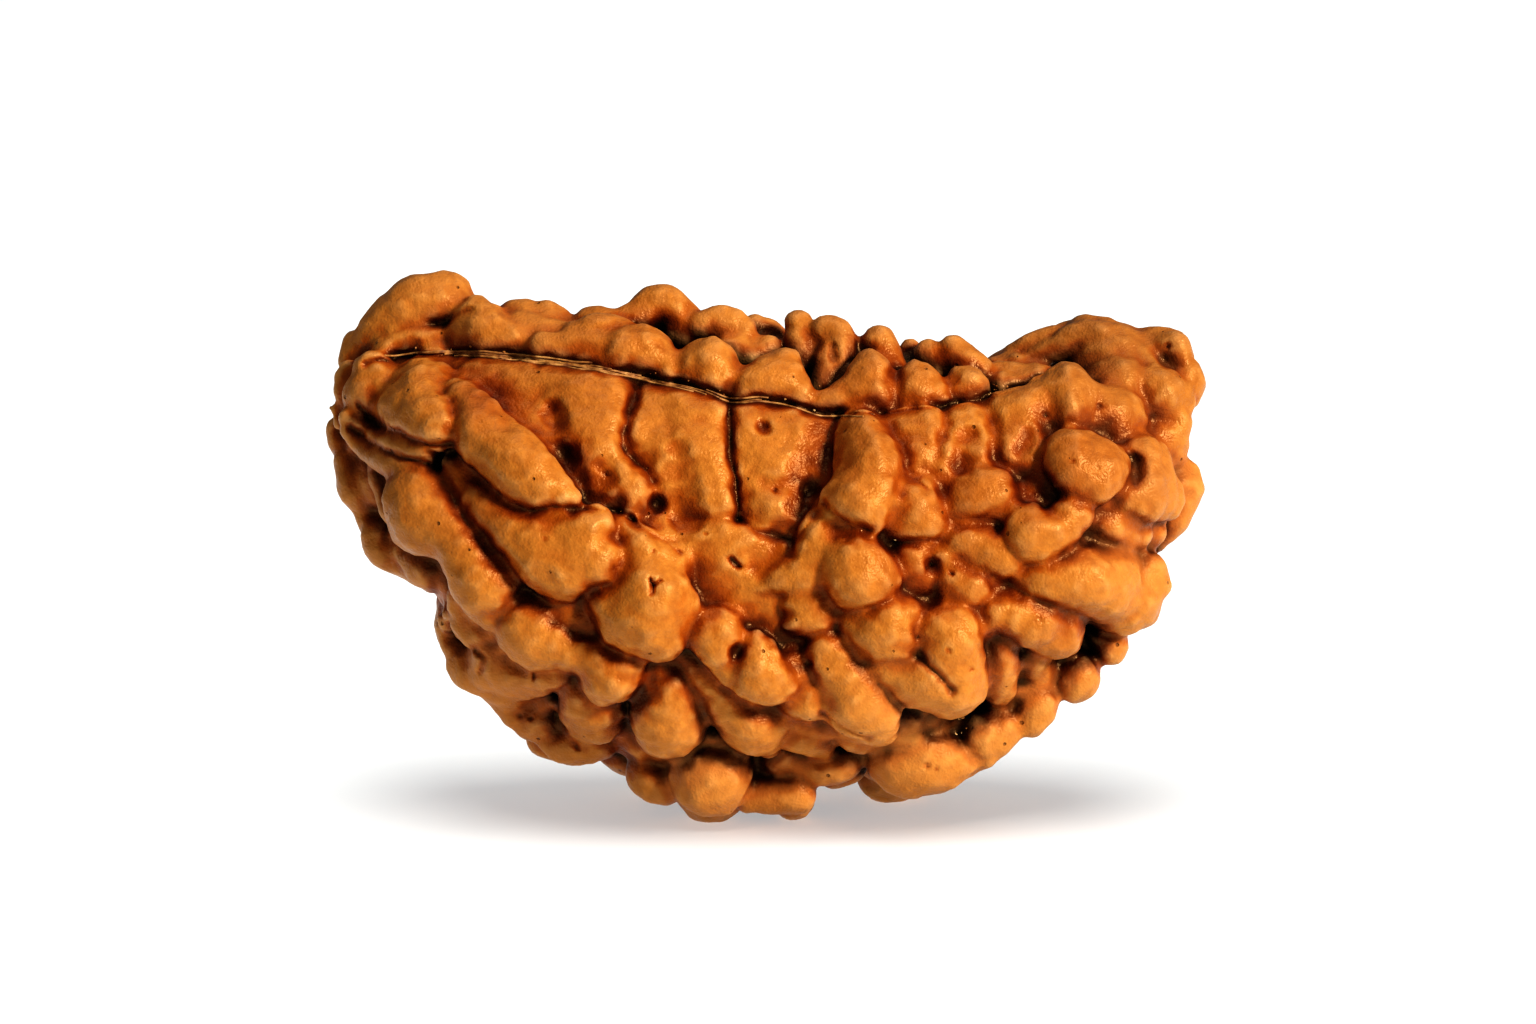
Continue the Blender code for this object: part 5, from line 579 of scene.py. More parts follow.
# Painted shade where neighbouring lobes shade the skin, with some oil-darkened skin.
SHADE_AND_STAIN_SPOTS = [
    (-9.5, 14.4, 1.2, 0.9), (8.7, 11.8, 1.3, 0.8), (9.3, 11.0, 1.0, 0.9), (6.6, 10.8, 2.0, 0.55),
    (10.8, 11.8, 2.2, 0.55), (4.8, 8.5, 1.4, 0.6), (6.8, 8.6, 1.4, 0.4), (12.9, 11.4, 1.4, 0.5),
    (5.0, 12.4, 1.4, 0.4), (2.2, 12.4, 0.9, 0.6), (-8.0, 3.6, 1.2, 0.5), (-9.9, 10.2, 1.0, 0.6),
    (-9.2, 5.2, 1.0, 0.3), (3.6, 14.4, 3.0, 0.4), (-6.0, 15.7, 3.5, 0.3), (10.2, 5.9, 1.2, 0.4),
]


def clamp(value, low=0.0, high=1.0):
    return np.clip(value, low, high)


def linear(code):
    """An sRGB hex colour as a linear one."""
    parts = [int(code[i:i + 2], 16) / 255.0 for i in (1, 3, 5)]
    return (*[c / 12.92 if c <= 0.04045 else ((c + 0.055) / 1.055) ** 2.4 for c in parts], 1.0)


def add_object(name, mesh):
    obj = bpy.data.objects.new(name, mesh)
    bpy.context.scene.collection.objects.link(obj)
    return obj


def belly_height(x):
    return CORE_BELLY + CORE_BELLY_RISE * (1.0 - math.sqrt(max(0.0, 1.0 - (x / BELLY_RADIUS) ** 2)))


def core_mesh():
    """The smooth half-moon under the lobes: a sphere drawn out along X, with a round belly and a leaning
    top."""
    bm = bmesh.new()
    bmesh.ops.create_uvsphere(bm, u_segments=48, v_segments=32, radius=1.0)
    for vert in bm.verts:
        along, round_y, round_z = vert.co.z, vert.co.x, vert.co.y
        x = CORE_HALF_LENGTH * along
        ring = math.hypot(round_y, round_z)
        blunt_y = math.sqrt(max(0.0, 1.0 - abs(along) ** END_BLUNT_DEPTH))
        blunt_z = math.sqrt(max(0.0, 1.0 - abs(along) ** END_BLUNT_HEIGHT))
        cos_a, sin_a = (round_y / ring, round_z / ring) if ring > 1e-9 else (0.0, 0.0)
        square_y = math.copysign(abs(cos_a) ** SECTION_SQUARE, cos_a)
        square_z = math.copysign(abs(sin_a) ** SECTION_SQUARE, sin_a)
        belly = belly_height(x)
        top = np.interp(x, *zip(*CORE_TOP))
        y = CORE_HALF_DEPTH * blunt_y * square_y
        z = 0.5 * (top + belly) + 0.5 * (top - belly) * blunt_z * square_z
        z += CORE_LEAN * y * min(1.0, max(0.0, (z - CORE_LEAN_FROM) / CORE_LEAN_OVER))
        vert.co = (x, y, z)
    bmesh.ops.recalc_face_normals(bm, faces=bm.faces)
    mesh = bpy.data.meshes.new("core")
    bm.to_mesh(mesh)
    bm.free()
    return mesh


def tree_of(mesh):
    faces = [face.vertices[:] for face in mesh.polygons]
    return BVHTree.FromPolygons([vert.co for vert in mesh.vertices], faces)


def seat(tree, x, height, lift, foot=None):
    """The point seen at (x, height) in the view, on the core's near surface, raised towards the eye by lift.
    Beside the core it is where the line of sight passes nearest to it. Above a foot it stands upright."""
    if foot is not None and height > foot:
        return seat(tree, x, foot, lift) + (VIEW_UP + STAND_BACK * VIEW_AWAY) * (height - foot)
    start = Vector((x, 0.0, 0.0)) + VIEW_UP * height - VIEW_AWAY * VIEW_START
    hit = tree.ray_cast(start, VIEW_AWAY)[0]
    if hit is None:
        steps = [start + VIEW_AWAY * (SIGHT_FROM + SIGHT_STEP * i) for i in range(SIGHT_STEPS)]
        hit = min(steps, key=lambda point: tree.find_nearest(point)[3])
    return hit - VIEW_AWAY * lift


def spline(points, closed, step):
    """A smooth path through the points (Catmull-Rom), with samples about step apart."""
    points = [np.array(point, float) for point in points]
    if len(points) == 1:
        return points
    if closed:
        ends = [points[-1], *points, points[0], points[1]]
    else:
        ends = [2 * points[0] - points[1], *points, 2 * points[-1] - points[-2]]
    path = []
    for before, start, end, after in zip(ends, ends[1:], ends[2:], ends[3:]):
        count = max(1, math.ceil(np.linalg.norm(end - start) / step))
        for t in np.arange(count) / count:
            bend = (2 * before - 5 * start + 4 * end - after) * t**2
            twist = (3 * start - before - 3 * end + after) * t**3
            path.append(0.5 * (2 * start + (end - before) * t + bend + twist))
    return path if closed else [*path, points[-1]]


def thread(balls):
    """Balls along a smooth path through the given ones, close enough to make one lobe."""
    return spline(balls, False, BALL_STEP * min(ball[3] for ball in balls))


def course_gap(points, course):
    """How far each point is from the course, a broken line or a single point."""
    course = np.array(course, float)
    gap = np.linalg.norm(points - course[0], axis=1)
    for start, end in zip(course, course[1:]):
        along = clamp((points - start) @ (end - start) / ((end - start) @ (end - start)))
        gap = np.minimum(gap, np.linalg.norm(points - start - along[:, None] * (end - start), axis=1))
    return gap


def inside(points, outline):
    """Which points lie in the closed outline: a line to the right of them crosses it an odd number of
    times."""
    odd = np.zeros(len(points), bool)
    for (x0, y0), (x1, y1) in zip(outline, [*outline[1:], outline[0]]):
        if y0 != y1:
            spans = (points[:, 1] < y0) != (points[:, 1] < y1)
            odd ^= spans & (points[:, 0] < x0 + (points[:, 1] - y0) / (y1 - y0) * (x1 - x0))
    return odd


def nearest_gap(points, others):
    """How far each point is from the nearest of the others."""
    tree = KDTree(len(others))
    for index, (x, y) in enumerate(others):
        tree.insert((x, y, 0.0), index)
    tree.balance()
    return np.array([tree.find((x, y, 0.0))[2] for x, y in points])


def outline_depth(grid, corners):
    """How far each grid point is outside the outline; inside it, less than nothing."""
    outline = spline(corners, True, OUTLINE_STEP)
    low, high = np.min(outline, axis=0) - FAR_GAP, np.max(outline, axis=0) + FAR_GAP
    near = np.flatnonzero(np.all((grid > low) & (grid < high), axis=1))
    gap = course_gap(grid[near], [*outline, outline[0]])
    depth = np.full(len(grid), FAR_GAP)
    depth[near] = np.where(inside(grid[near], outline), -gap, gap)
    return depth


def chain_depth(grid, path):
    """The same for a chain, as wide as its balls."""
    depth = np.full(len(grid), FAR_GAP)
    for x, height, radius in spline(path, False, OUTLINE_STEP):
        depth = np.minimum(depth, np.hypot(grid[:, 0] - x, grid[:, 1] - height) - radius)
    return depth


def pillow_regions(grid):
    """Which points of the grid each pillow covers. Narrow gaps between lobes go to the nearest lobe, and
    neighbours overlap a little."""
    depths = [outline_depth(grid, corners) for _name, _lift, _thick, corners in PILLOWS]
    depths += [chain_depth(grid, path) for _name, _lift, path in CHAINS]
    depths = np.array(depths)
    union = depths.min(axis=0)
    open_edge = grid[(union >= GAP_CLOSED) & (union < GAP_CLOSED + OPEN_EDGE)]
    gaps = np.flatnonzero((union > 0.0) & (union < GAP_CLOSED))
    gaps = gaps[nearest_gap(grid[gaps], open_edge) > GAP_CLOSED]
    owners = depths[:, gaps].argmin(axis=0)
    covered = union < 0.0
    covered[gaps] = True
    for index in range(len(PILLOWS)):
        region = (depths[index] < 0.0) | (covered & (depths[index] < OVERLAP))
        region[gaps[owners == index]] = True
        yield region


def pillow_balls(tree):
    """Each pillow as balls that just reach its edge, and are as thick as the pillow where it is wide. Where
    it is raised far it gets more layers of balls, its roots."""
    columns = np.arange(-GRID_RIGHT, GRID_RIGHT + GRID_STEP, GRID_STEP)
    across, up = np.meshgrid(columns, np.arange(GRID_LOW, GRID_TOP, GRID_STEP))
    shape = across.shape
    grid = np.stack([across.ravel(), up.ravel()], axis=1)
    rows, columns = np.indices(shape)
    balls = []
    for (name, lift, thick, corners), region in zip(PILLOWS, pillow_regions(grid)):
        picture = region.reshape(shape)
        edge = np.zeros(shape, bool)
        edge[1:-1, 1:-1] = ~picture[1:-1, 1:-1] & (
            picture[:-2, 1:-1] | picture[2:, 1:-1] | picture[1:-1, :-2] | picture[1:-1, 2:])
        chosen = picture & (rows % PILLOW_EVERY == 0) & (columns % PILLOW_EVERY == 0)
        spots = grid[chosen.ravel()]
        reach = nearest_gap(spots, grid[edge.ravel()]) - 0.5 * GRID_STEP + PILLOW_SPREAD
        leans = clamp((spots - np.mean(corners, axis=0)) @ LEAN_WAY * LEAN, -LEAN_MOST, LEAN_MOST)
        for (x, height), radius, lean in zip(spots, reach, leans):
            if radius > PILLOW_LEAST * thick:
                foot = max(STANDING[name], spots[spots[:, 0] == x, 1].min()) if name in STANDING else None
                rise = lift + lean if lift > LEANING else lift
                top = seat(tree, x, height, rise, foot)
                for root in range(1 + max(0, int(rise / ROOT_DEPTH))):
                    balls.append(np.array([*(top + VIEW_AWAY * ROOT_DEPTH * root), min(radius, thick)]))
    return balls


def chain_balls(tree):
    balls = []
    for name, lift, path in CHAINS:
        foot = STANDING.get(name)
        seats = [[*seat(tree, x, height, lift, foot), CHAIN_SWELL * radius] for x, height, radius in path]
        balls += thread(seats)
    return balls


def drop_lobe(rng, tree, middle, lean, heading, radius, length):
    """A lobe of three balls that swells downwards, seated along heading. middle is where its ray starts."""
    balls = []
    bend = rng.uniform(-BACK_BEND, BACK_BEND)
    for step, swell in DROP:
        turn = lean + bend * step
        start = middle + Vector((math.sin(turn), 0.0, -math.cos(turn))) * step * length
        raised = rng.uniform(*BACK_LIFTS)
        hit = tree.ray_cast(start, heading)[0]
        if hit is not None:
            balls.append(np.array([*(hit - heading * raised), radius * swell]))
    return thread(balls) if balls else []


def back_balls(rng, tree):
    """Lobes on the far side."""
    balls = []
    for row, (level, count) in enumerate(BACK_ROWS):
        spread = BACK_HALF_LENGTH * (1.0 - BACK_NARROW + BACK_NARROW * level**0.5)
        for i in range(count):
            x = spread * (2.0 * (i + 0.5 + BACK_STAGGER * (-1) ** row) / count - 1.0)
            x += rng.uniform(-BACK_SCATTER, BACK_SCATTER)
            low = belly_height(x)
            top = np.interp(x, *zip(*CORE_TOP)) + BACK_TOP_OVER
            z = low + (top - low) * level + rng.uniform(-BACK_SCATTER_UP, BACK_SCATTER_UP)
            lean = math.atan2(x, BACK_FAN_CENTRE - z) + rng.uniform(-BACK_LEAN, BACK_LEAN)
            middle = Vector((x, VIEW_START, z))
            radius, length = rng.uniform(*BACK_RADII), rng.uniform(*BACK_LENGTHS)
            balls += drop_lobe(rng, tree, middle, lean, Vector((0.0, -1.0, 0.0)), radius, length)
    return balls


def under_balls(rng, tree):
    """Lobes on the underside."""
    balls = []
    for y, count in UNDER_ROWS:
        for i in range(count):
            x = UNDER_HALF_LENGTH * (2.0 * (i + rng.uniform(*UNDER_PLACE)) / count - 1.0)
            hit = tree.ray_cast(Vector((x, y, -VIEW_START)), Vector((0.0, 0.0, 1.0)))[0]
            if hit is not None:
                side = Vector((rng.uniform(*UNDER_ASIDE), rng.uniform(*UNDER_BACK), 0.0))
                swell = rng.uniform(*UNDER_SWELL)
                lobe = [np.array([*(hit + side * step), swell * radius]) for step, radius in UNDER_LOBE]
                balls += thread(lobe)
    return balls


def grown_balls(core):
    """Every ball of the bead: the seam side, the filling, the far side, the underside and the feet."""
    tree = tree_of(core)
    balls = pillow_balls(tree) + chain_balls(tree)
    for ball in balls:
        ball[3] *= 1.0 + UNEVEN * noise.noise(Vector(ball[:3]) * UNEVEN_OFTEN)
    rng = random.Random(SEED)
    balls += [np.array(ball) for ball in SWELLINGS] + back_balls(rng, tree) + under_balls(rng, tree)
    for foot in FEET:
        balls += thread([np.array(ball) for ball in foot])
    return balls


def ball_mesh(balls, core):
    """One mesh that holds a small sphere for every ball, and the core."""
    bm = bmesh.new()
    bmesh.ops.create_icosphere(bm, subdivisions=2, radius=1.0)
    unit = np.array([vert.co for vert in bm.verts])
    corners = np.array([[vert.index for vert in face.verts] for face in bm.faces])
    bm.free()
    balls = np.array(balls)
    points = (unit[None] * balls[:, None, 3:] + balls[:, None, :3]).reshape(-1, 3)
    faces = (corners[None] + len(unit) * np.arange(len(balls))[:, None, None]).reshape(-1, 3)
    core.calc_loop_triangles()
    core_points = np.array([vert.co + vert.normal * CORE_SWELL for vert in core.vertices])
    core_faces = np.array([tri.vertices[:] for tri in core.loop_triangles])
    points = np.concatenate([points, core_points])
    faces = np.concatenate([faces, core_faces + len(points) - len(core_points)])
    mesh = bpy.data.meshes.new("lobes")
    mesh.from_pydata(points * MM, [], faces)
    return mesh


def largest_shell(mesh):
    """Drops the closed pockets that the fused lobes leave inside."""
    bm = bmesh.new()
    bm.from_mesh(mesh)
    unseen = set(bm.verts)
    keep = []
    while unseen:
        stack = [unseen.pop()]
        shell = list(stack)
        while stack:
            for edge in stack.pop().link_edges:
                for vert in edge.verts:
                    if vert in unseen:
                        unseen.remove(vert)
                        stack.append(vert)
                        shell.append(vert)
        keep = max(keep, shell, key=len)
    kept = set(keep)
    bmesh.ops.delete(bm, geom=[vert for vert in bm.verts if vert not in kept], context="VERTS")
    bm.to_mesh(mesh)
    bm.free()


def with_modifiers(mesh, modifiers):
    """The mesh after these modifiers, each a kind and its settings."""
    obj = add_object("work", mesh)
    for kind, settings in modifiers:
        modifier = obj.modifiers.new(kind.lower(), kind)
        for name, value in settings.items():
            setattr(modifier, name, value)
    graph = bpy.context.evaluated_depsgraph_get()
    made = bpy.data.meshes.new_from_object(obj.evaluated_get(graph))
    bpy.data.objects.remove(obj)
    bpy.data.meshes.remove(mesh)
    return made


def fuse(mesh, voxel, steps):
    """The balls, or a pressed skin, as one clean skin."""
    remesh = ("REMESH", {"mode": "VOXEL", "voxel_size": voxel * MM})
    mesh = with_modifiers(mesh, [remesh, ("SMOOTH", {"factor": 0.5, "iterations": steps})])
    largest_shell(mesh)
    return mesh


def read_points(mesh):
    """The mesh's points in millimetres, and its normals."""
    points = np.empty(len(mesh.vertices) * 3, np.float32)
    mesh.vertices.foreach_get("co", points)
    normals = np.empty(len(mesh.vertices) * 3, np.float32)
    mesh.vertices.foreach_get("normal", normals)
    return points.reshape(-1, 3).astype(float) / MM, normals.reshape(-1, 3).astype(float)


def write_points(mesh, points):
    mesh.vertices.foreach_set("co", (points * MM).astype(np.float32).ravel())
    mesh.update()


def seen_at(points):
    """Where each point is in the view: right of the middle, and height."""
    return np.stack([points[:, 0], points @ np.array(VIEW_UP)], axis=1)


def facing_view(normals):
    """1 where the skin faces the view, falling to 0 where it turns away."""
    return clamp(-(normals @ np.array(VIEW_AWAY)) * PRESS_FACING)


def press(mesh, marks, sharp):
    """Presses each mark in along the view: a smooth dent, or with sharp a V with a crisp bottom."""
    points, normals = read_points(mesh)
    places = [Vector(point) * STRAY_OFTEN for point in points]
    stray = [[noise.noise(place), noise.noise(place.zxy)] for place in places]
    seen = seen_at(points) + STRAY * np.array(stray)
    dent = np.zeros(len(points))
    for half_width, depth, course in marks:
        low, high = np.min(course, axis=0) - 2 * half_width, np.max(course, axis=0) + 2 * half_width
        near = np.flatnonzero(np.all((seen > low) & (seen < high), axis=1))
        gap = course_gap(seen[near], course) / (PRESS_REACH * half_width)
        if sharp:
            dent[near] += depth * clamp(1.0 - gap) ** PRESS_SHARP
        else:
            dent[near] += depth * HOLLOW_SHARE * clamp(1.0 - gap**2) ** PRESS_ROUND
    write_points(mesh, points + (dent * facing_view(normals))[:, None] * np.array(VIEW_AWAY))


def roughen(mesh, height, wave):
    """Uneven growth: the surface rises and falls by up to height over stretches of about wave."""
    points, normals = read_points(mesh)
    rise = np.array([noise.noise(Vector(point / wave)) for point in points])
    write_points(mesh, points + normals * (rise * height)[:, None])


def evened(mesh, values, steps):
    """The values smoothed over the mesh's edges."""
    ends = np.empty(len(mesh.edges) * 2, np.int32)
    mesh.edges.foreach_get("vertices", ends)
    ends = ends.reshape(-1, 2)
    count = np.bincount(ends.ravel(), minlength=len(values))
    values = values.copy()
    for _ in range(steps):
        total = np.bincount(ends[:, 0], values[ends[:, 1]], len(values))
        total += np.bincount(ends[:, 1], values[ends[:, 0]], len(values))
        values = 0.5 * values + 0.5 * total / count
    return values


def relief(mesh, steps):
    """How far each point stands above (or, if negative, below) the skin smoothed over the given steps."""
    points, normals = read_points(mesh)
    smooth = np.stack([evened(mesh, points[:, axis], steps) for axis in range(3)], axis=1)
    return np.sum((points - smooth) * normals, axis=1)


def sharpen(mesh, steps):
    """Deepens the creases between lobes and raises the lobes' shoulders a little."""
    points, normals = read_points(mesh)
    rise = clamp(SHARPEN_GAIN * relief(mesh, steps), SHARPEN_DEEPEST, SHARPEN_HIGHEST)
    write_points(mesh, points + normals * evened(mesh, rise, 1)[:, None])


def stand(mesh):
    """Grinds the lobes it rests on flat at the resting plane."""
    points, _normals = read_points(mesh)
    points[:, 2] = np.maximum(points[:, 2], 0.0)
    write_points(mesh, points)


def shelter(mesh):
    """How closed in each point is: the share of short lines from it that meet the bead again."""
    points, normals = read_points(mesh)
    tree = BVHTree.FromPolygons(points.tolist(), [face.vertices[:] for face in mesh.polygons])
    rng = np.random.default_rng(SEED)
    ways = rng.normal(size=(len(points), SHELTER_LINES, 3))
    ways /= np.linalg.norm(ways, axis=2, keepdims=True)
    ways += SHELTER_AHEAD * normals[:, None]
    ways /= np.linalg.norm(ways, axis=2, keepdims=True)
    starts = points + normals * SHELTER_START
    closed = np.array([
        sum(tree.ray_cast(start, way, SHELTER_REACH)[0] is not None for way in fan)
        for start, fan in zip(starts.tolist(), ways.tolist())
    ])
    return evened(mesh, closed / SHELTER_LINES, SHELTER_STEPS)


def spots_share(points, spots):
    """How much each point belongs to the given soft round spots of the view, from 0 to 1."""
    seen = seen_at(points)
    share = np.zeros(len(points))
    for x, height, reach, amount in spots:
        gap = np.hypot(seen[:, 0] - x, seen[:, 1] - height) / reach
        share = np.maximum(share, amount * np.exp(-(gap**2)))
    return share


def paint(mesh, name, values):
    attribute = mesh.attributes.new(name, "FLOAT", "POINT")
    attribute.data.foreach_set("value", values.astype(np.float32))


def paint_marks(mesh):
    """What the material and the crumbs read: how deep a point lies, which the material paints as shade, how it
    stands out, which it paints as highlight, and the spots, one set of them painted shade.
    """
    points, normals = read_points(mesh)
    wide, fine = relief(mesh, WIDE_STEPS), relief(mesh, FINE_STEPS)
    paint(mesh, "hollow", clamp(shelter(mesh)))
    paint(mesh, "edge", clamp(0.5 + wide / WIDE_RISE + fine / FINE_RISE))
    paint(mesh, "dry", spots_share(points, DRY_SPOTS))
    # Spots of painted shade, with some oil-darkened skin.
    paint(mesh, "shade_and_stain", spots_share(points, SHADE_AND_STAIN_SPOTS))
    paint(mesh, "dull", spots_share(points, DULL_SPOTS) * (normals[:, 1] < 0.5))
    paint(mesh, "crumb", spots_share(points, CRUMB_SPOTS) * facing_view(normals))


def grown_bead():
    """The bead's fine mesh, with its painted marks."""
    core = core_mesh()
    mesh = fuse(ball_mesh(grown_balls(core), core), FIRST_VOXEL, 2)
    bpy.data.meshes.remove(core)
    roughen(mesh, *GROWTH)
    press(mesh, HOLLOWS, sharp=False)
    mesh = fuse(mesh, LAST_VOXEL, 1)
    sharpen(mesh, SHARPEN_STEPS)
    press(mesh, CREASES, sharp=True)
    press(mesh, PITS, sharp=True)
    roughen(mesh, *FINE_GROWTH)
    stand(mesh)
    paint_marks(mesh)
    mesh = with_modifiers(mesh, [("DECIMATE", {"ratio": BEAD_TRIANGLES / (2.0 * len(mesh.polygons))})])
    mesh.shade_smooth()
    return mesh


def add_node(tree, kind, inputs=None, stops=(), **settings):
    """Adds a node with its settings. Each input is a value, an output to link, or a node whose first output is
    linked. A colour ramp gets its stops, each a place and a hex colour, with the two end stops first."""
    node = tree.nodes.new(kind)
    for name, value in settings.items():
        setattr(node, name, value)
    for name, value in (inputs or {}).items():
        if isinstance(value, bpy.types.Node):
            value = value.outputs[0]
        if isinstance(value, bpy.types.NodeSocket):
            tree.links.new(value, node.inputs[name])
        else:
            node.inputs[name].default_value = value
    if stops:
        band = node.color_ramp.elements
        for place, _code in stops[2:]:
            band.new(place)
        for element, (place, code) in zip(band, sorted(stops)):
            element.position = place
            element.color = linear(code)
    return node


def new_material(name):
    material = bpy.data.materials.new(name)
    material.use_nodes = True
    return material, material.node_tree, material.node_tree.nodes["Principled BSDF"]


def shell_material():
    """Oiled fruit stone, hard and woody: a soft waxy sheen on orange-brown skin, with painted shade darkening
    the crevices and a painted highlight paling the ridges, fine pores and a mottled grain."""
    material, tree, shader = new_material("oiled_rudraksha_stone")
    place = add_node(tree, "ShaderNodeTexCoord").outputs["Object"]
    hollow, edge, dry, dull, shade_and_stain = (
        add_node(tree, "ShaderNodeAttribute", attribute_name=name).outputs["Fac"]
        for name in ("hollow", "edge", "dry", "dull", "shade_and_stain"))

    # Patterns by their real size: clouds 1.6 mm, mottle 0.35 mm, grain 0.09 mm, pores in 0.55 mm cells.
    clouds, mottle, grain = (
        add_node(tree, "ShaderNodeTexNoise", {"Vector": place, "Scale": 1.0 / (size * MM), "Detail": detail})
        for size, detail in ((1.6, 3.0), (0.35, 2.0), (0.09, 1.0)))
    cells = add_node(tree, "ShaderNodeTexVoronoi", {"Vector": place, "Scale": 1.0 / (0.55 * MM)})
    chosen = add_node(tree, "ShaderNodeSeparateColor", {"Color": cells.outputs["Color"]})
    pore_size = add_node(tree, "ShaderNodeMapRange", {"Value": chosen, "From Min": 0.6, "To Max": 0.14})
    pore_gap = add_node(tree, "ShaderNodeMath", {0: cells, 1: pore_size}, operation="SUBTRACT")
    pore = add_node(tree, "ShaderNodeMapRange",
        {"Value": pore_gap, "From Min": -0.06, "From Max": 0.02, "To Min": 1.0, "To Max": 0.0})

    # The skin's colour by depth, with painted shade and highlight: darker where it is closed in, paler where
    # it
    #     stands out, a little cloudy.
    change = add_node(tree, "ShaderNodeMath", {0: clouds, 1: 0.35, 2: 0.025}, operation="MULTIPLY_ADD")
    painted_crevice_shade = add_node(tree, "ShaderNodeMath", {0: hollow, 1: 1.15, 2: change}, operation="MULTIPLY_ADD")
    depth = add_node(tree, "ShaderNodeMath", {0: edge, 1: -0.4, 2: painted_crevice_shade}, operation="MULTIPLY_ADD")
    skin = add_node(tree, "ShaderNodeValToRGB", {"Fac": depth}, [(0.0, "#BE7C34"), (0.95, "#120300"),
        (0.15, "#A65614"), (0.3, "#7C3203"), (0.48, "#4E1901"), (0.7, "#280A00")])

    # What lies over it: painted highlight on ridges, mottling, painted shade with some oil stain, dry and dull
    #     skin where it is open, and pores.
    painted_ridge_highlight = add_node(tree, "ShaderNodeMapRange",
        {"Value": edge, "From Min": 0.58, "From Max": 0.82, "To Max": 0.45})
    tint = add_node(tree, "ShaderNodeValToRGB", {"Fac": mottle}, [(0.3, "#C4AE9C"), (0.7, "#FFFFFF")])
    open_skin = add_node(tree, "ShaderNodeMapRange",
        {"Value": hollow, "From Min": 0.15, "From Max": 0.5, "To Min": 0.5, "To Max": 0.0})
    shaded_and_stained, dried, dulled, pored = (
        add_node(tree, "ShaderNodeMath", {0: mark, 1: share}, operation="MULTIPLY")
        for mark, share in ((shade_and_stain, 0.7), (dry, open_skin), (dull, 0.5), (pore, 0.6)))
    for share, colour, blend in (
        # Painted highlight: the ridges paled towards a light tan.
        (painted_ridge_highlight, linear("#DDAD72"), "MIX"),
        (0.5, tint, "MULTIPLY"),
        # Painted shade, with some oil-darkened skin, multiplied over its spots.
        (shaded_and_stained, linear("#C08058"), "MULTIPLY"),
        (dried, linear("#CF9250"), "MIX"),
        (dulled, linear("#80502C"), "MIX"),
        (pored, linear("#4A1E08"), "MIX"),
    ):
        layer = {0: share, 6: skin, 7: colour}
        skin = add_node(tree, "ShaderNodeMix", layer, data_type="RGBA", blend_type=blend).outputs[2]
    tree.links.new(skin, shader.inputs["Base Color"])

    gloss = add_node(tree, "ShaderNodeMapRange",
        {"Value": mottle, "From Min": 0.3, "From Max": 0.7, "To Min": 0.32, "To Max": 0.48})
    roughness = add_node(tree, "ShaderNodeMath", {0: dry, 1: 0.15, 2: gloss}, operation="MULTIPLY_ADD")
    tree.links.new(roughness.outputs[0], shader.inputs["Roughness"])
    shader.inputs["IOR"].default_value = 1.5
    shader.inputs["Specular IOR Level"].default_value = 0.45
    shader.inputs["Specular Tint"].default_value = linear("#FFCB8E")

    fine = add_node(tree, "ShaderNodeMath", {0: grain, 1: 0.25}, operation="MULTIPLY")
    uneven = add_node(tree, "ShaderNodeMath", {0: mottle, 1: 0.5, 2: fine}, operation="MULTIPLY_ADD")
    height = add_node(tree, "ShaderNodeMath", {0: uneven, 1: pore}, operation="SUBTRACT")
    bump = add_node(tree, "ShaderNodeBump", {"Height": height, "Distance": 0.1 * MM, "Strength": 0.9})
    tree.links.new(bump.outputs["Normal"], shader.inputs["Normal"])
    return material


def mottled_material(name, size, detail, stops, roughness):
    """A matt material whose colour wanders between the stops in patches of this size in millimetres."""
    material, tree, shader = new_material(name)
    place = add_node(tree, "ShaderNodeTexCoord").outputs["Object"]
    patches = add_node(tree, "ShaderNodeTexNoise",
        {"Vector": place, "Scale": 1.0 / (size * MM), "Detail": detail})
    colour = add_node(tree, "ShaderNodeValToRGB", {"Fac": patches}, stops)
    tree.links.new(colour.outputs["Color"], shader.inputs["Base Color"])
    shader.inputs["Roughness"].default_value = roughness
    return material


def straw_material():
    """Dry plant fibre: pale straw, matt, streaked along its length."""
    stops = [(0.3, "#704018"), (0.75, "#D6A968"), (0.52, "#B07C42")]
    return mottled_material("dry_straw_fibre", 0.3, 2.0, stops, 0.6)


def crumb_material():
    """Crumbs of dried pulp, caught in the crevices: pale and rough, no two alike."""
    stops = [(0.3, "#8A4A1A"), (0.75, "#E8C890"), (0.52, "#B8803F")]
    return mottled_material("dried_pulp_crumb", 0.5, 1.0, stops, 0.55)


def named_inputs(tree, inputs):
    """Gives a geometry tree its named inputs: name, kind of socket and value."""
    tree.interface.new_socket("Geometry", in_out="INPUT", socket_type="NodeSocketGeometry")
    for name, kind, value in inputs:
        socket = tree.interface.new_socket(name, in_out="INPUT", socket_type=kind)
        socket.default_value = value
    tree.interface.new_socket("Geometry", in_out="OUTPUT", socket_type="NodeSocketGeometry")
    return tree.nodes.new("NodeGroupInput"), tree.nodes.new("NodeGroupOutput")


def finish_tree(tree, given, out, geometry):
    """Ends a geometry tree: real copies, with its material."""
    real = add_node(tree, "GeometryNodeRealizeInstances", {"Geometry": geometry})
    inputs = {"Geometry": real.outputs["Geometry"], "Material": given.outputs["Material"]}
    done = add_node(tree, "GeometryNodeSetMaterial", inputs)
    tree.links.new(done.outputs["Geometry"], out.inputs[0])
    return tree


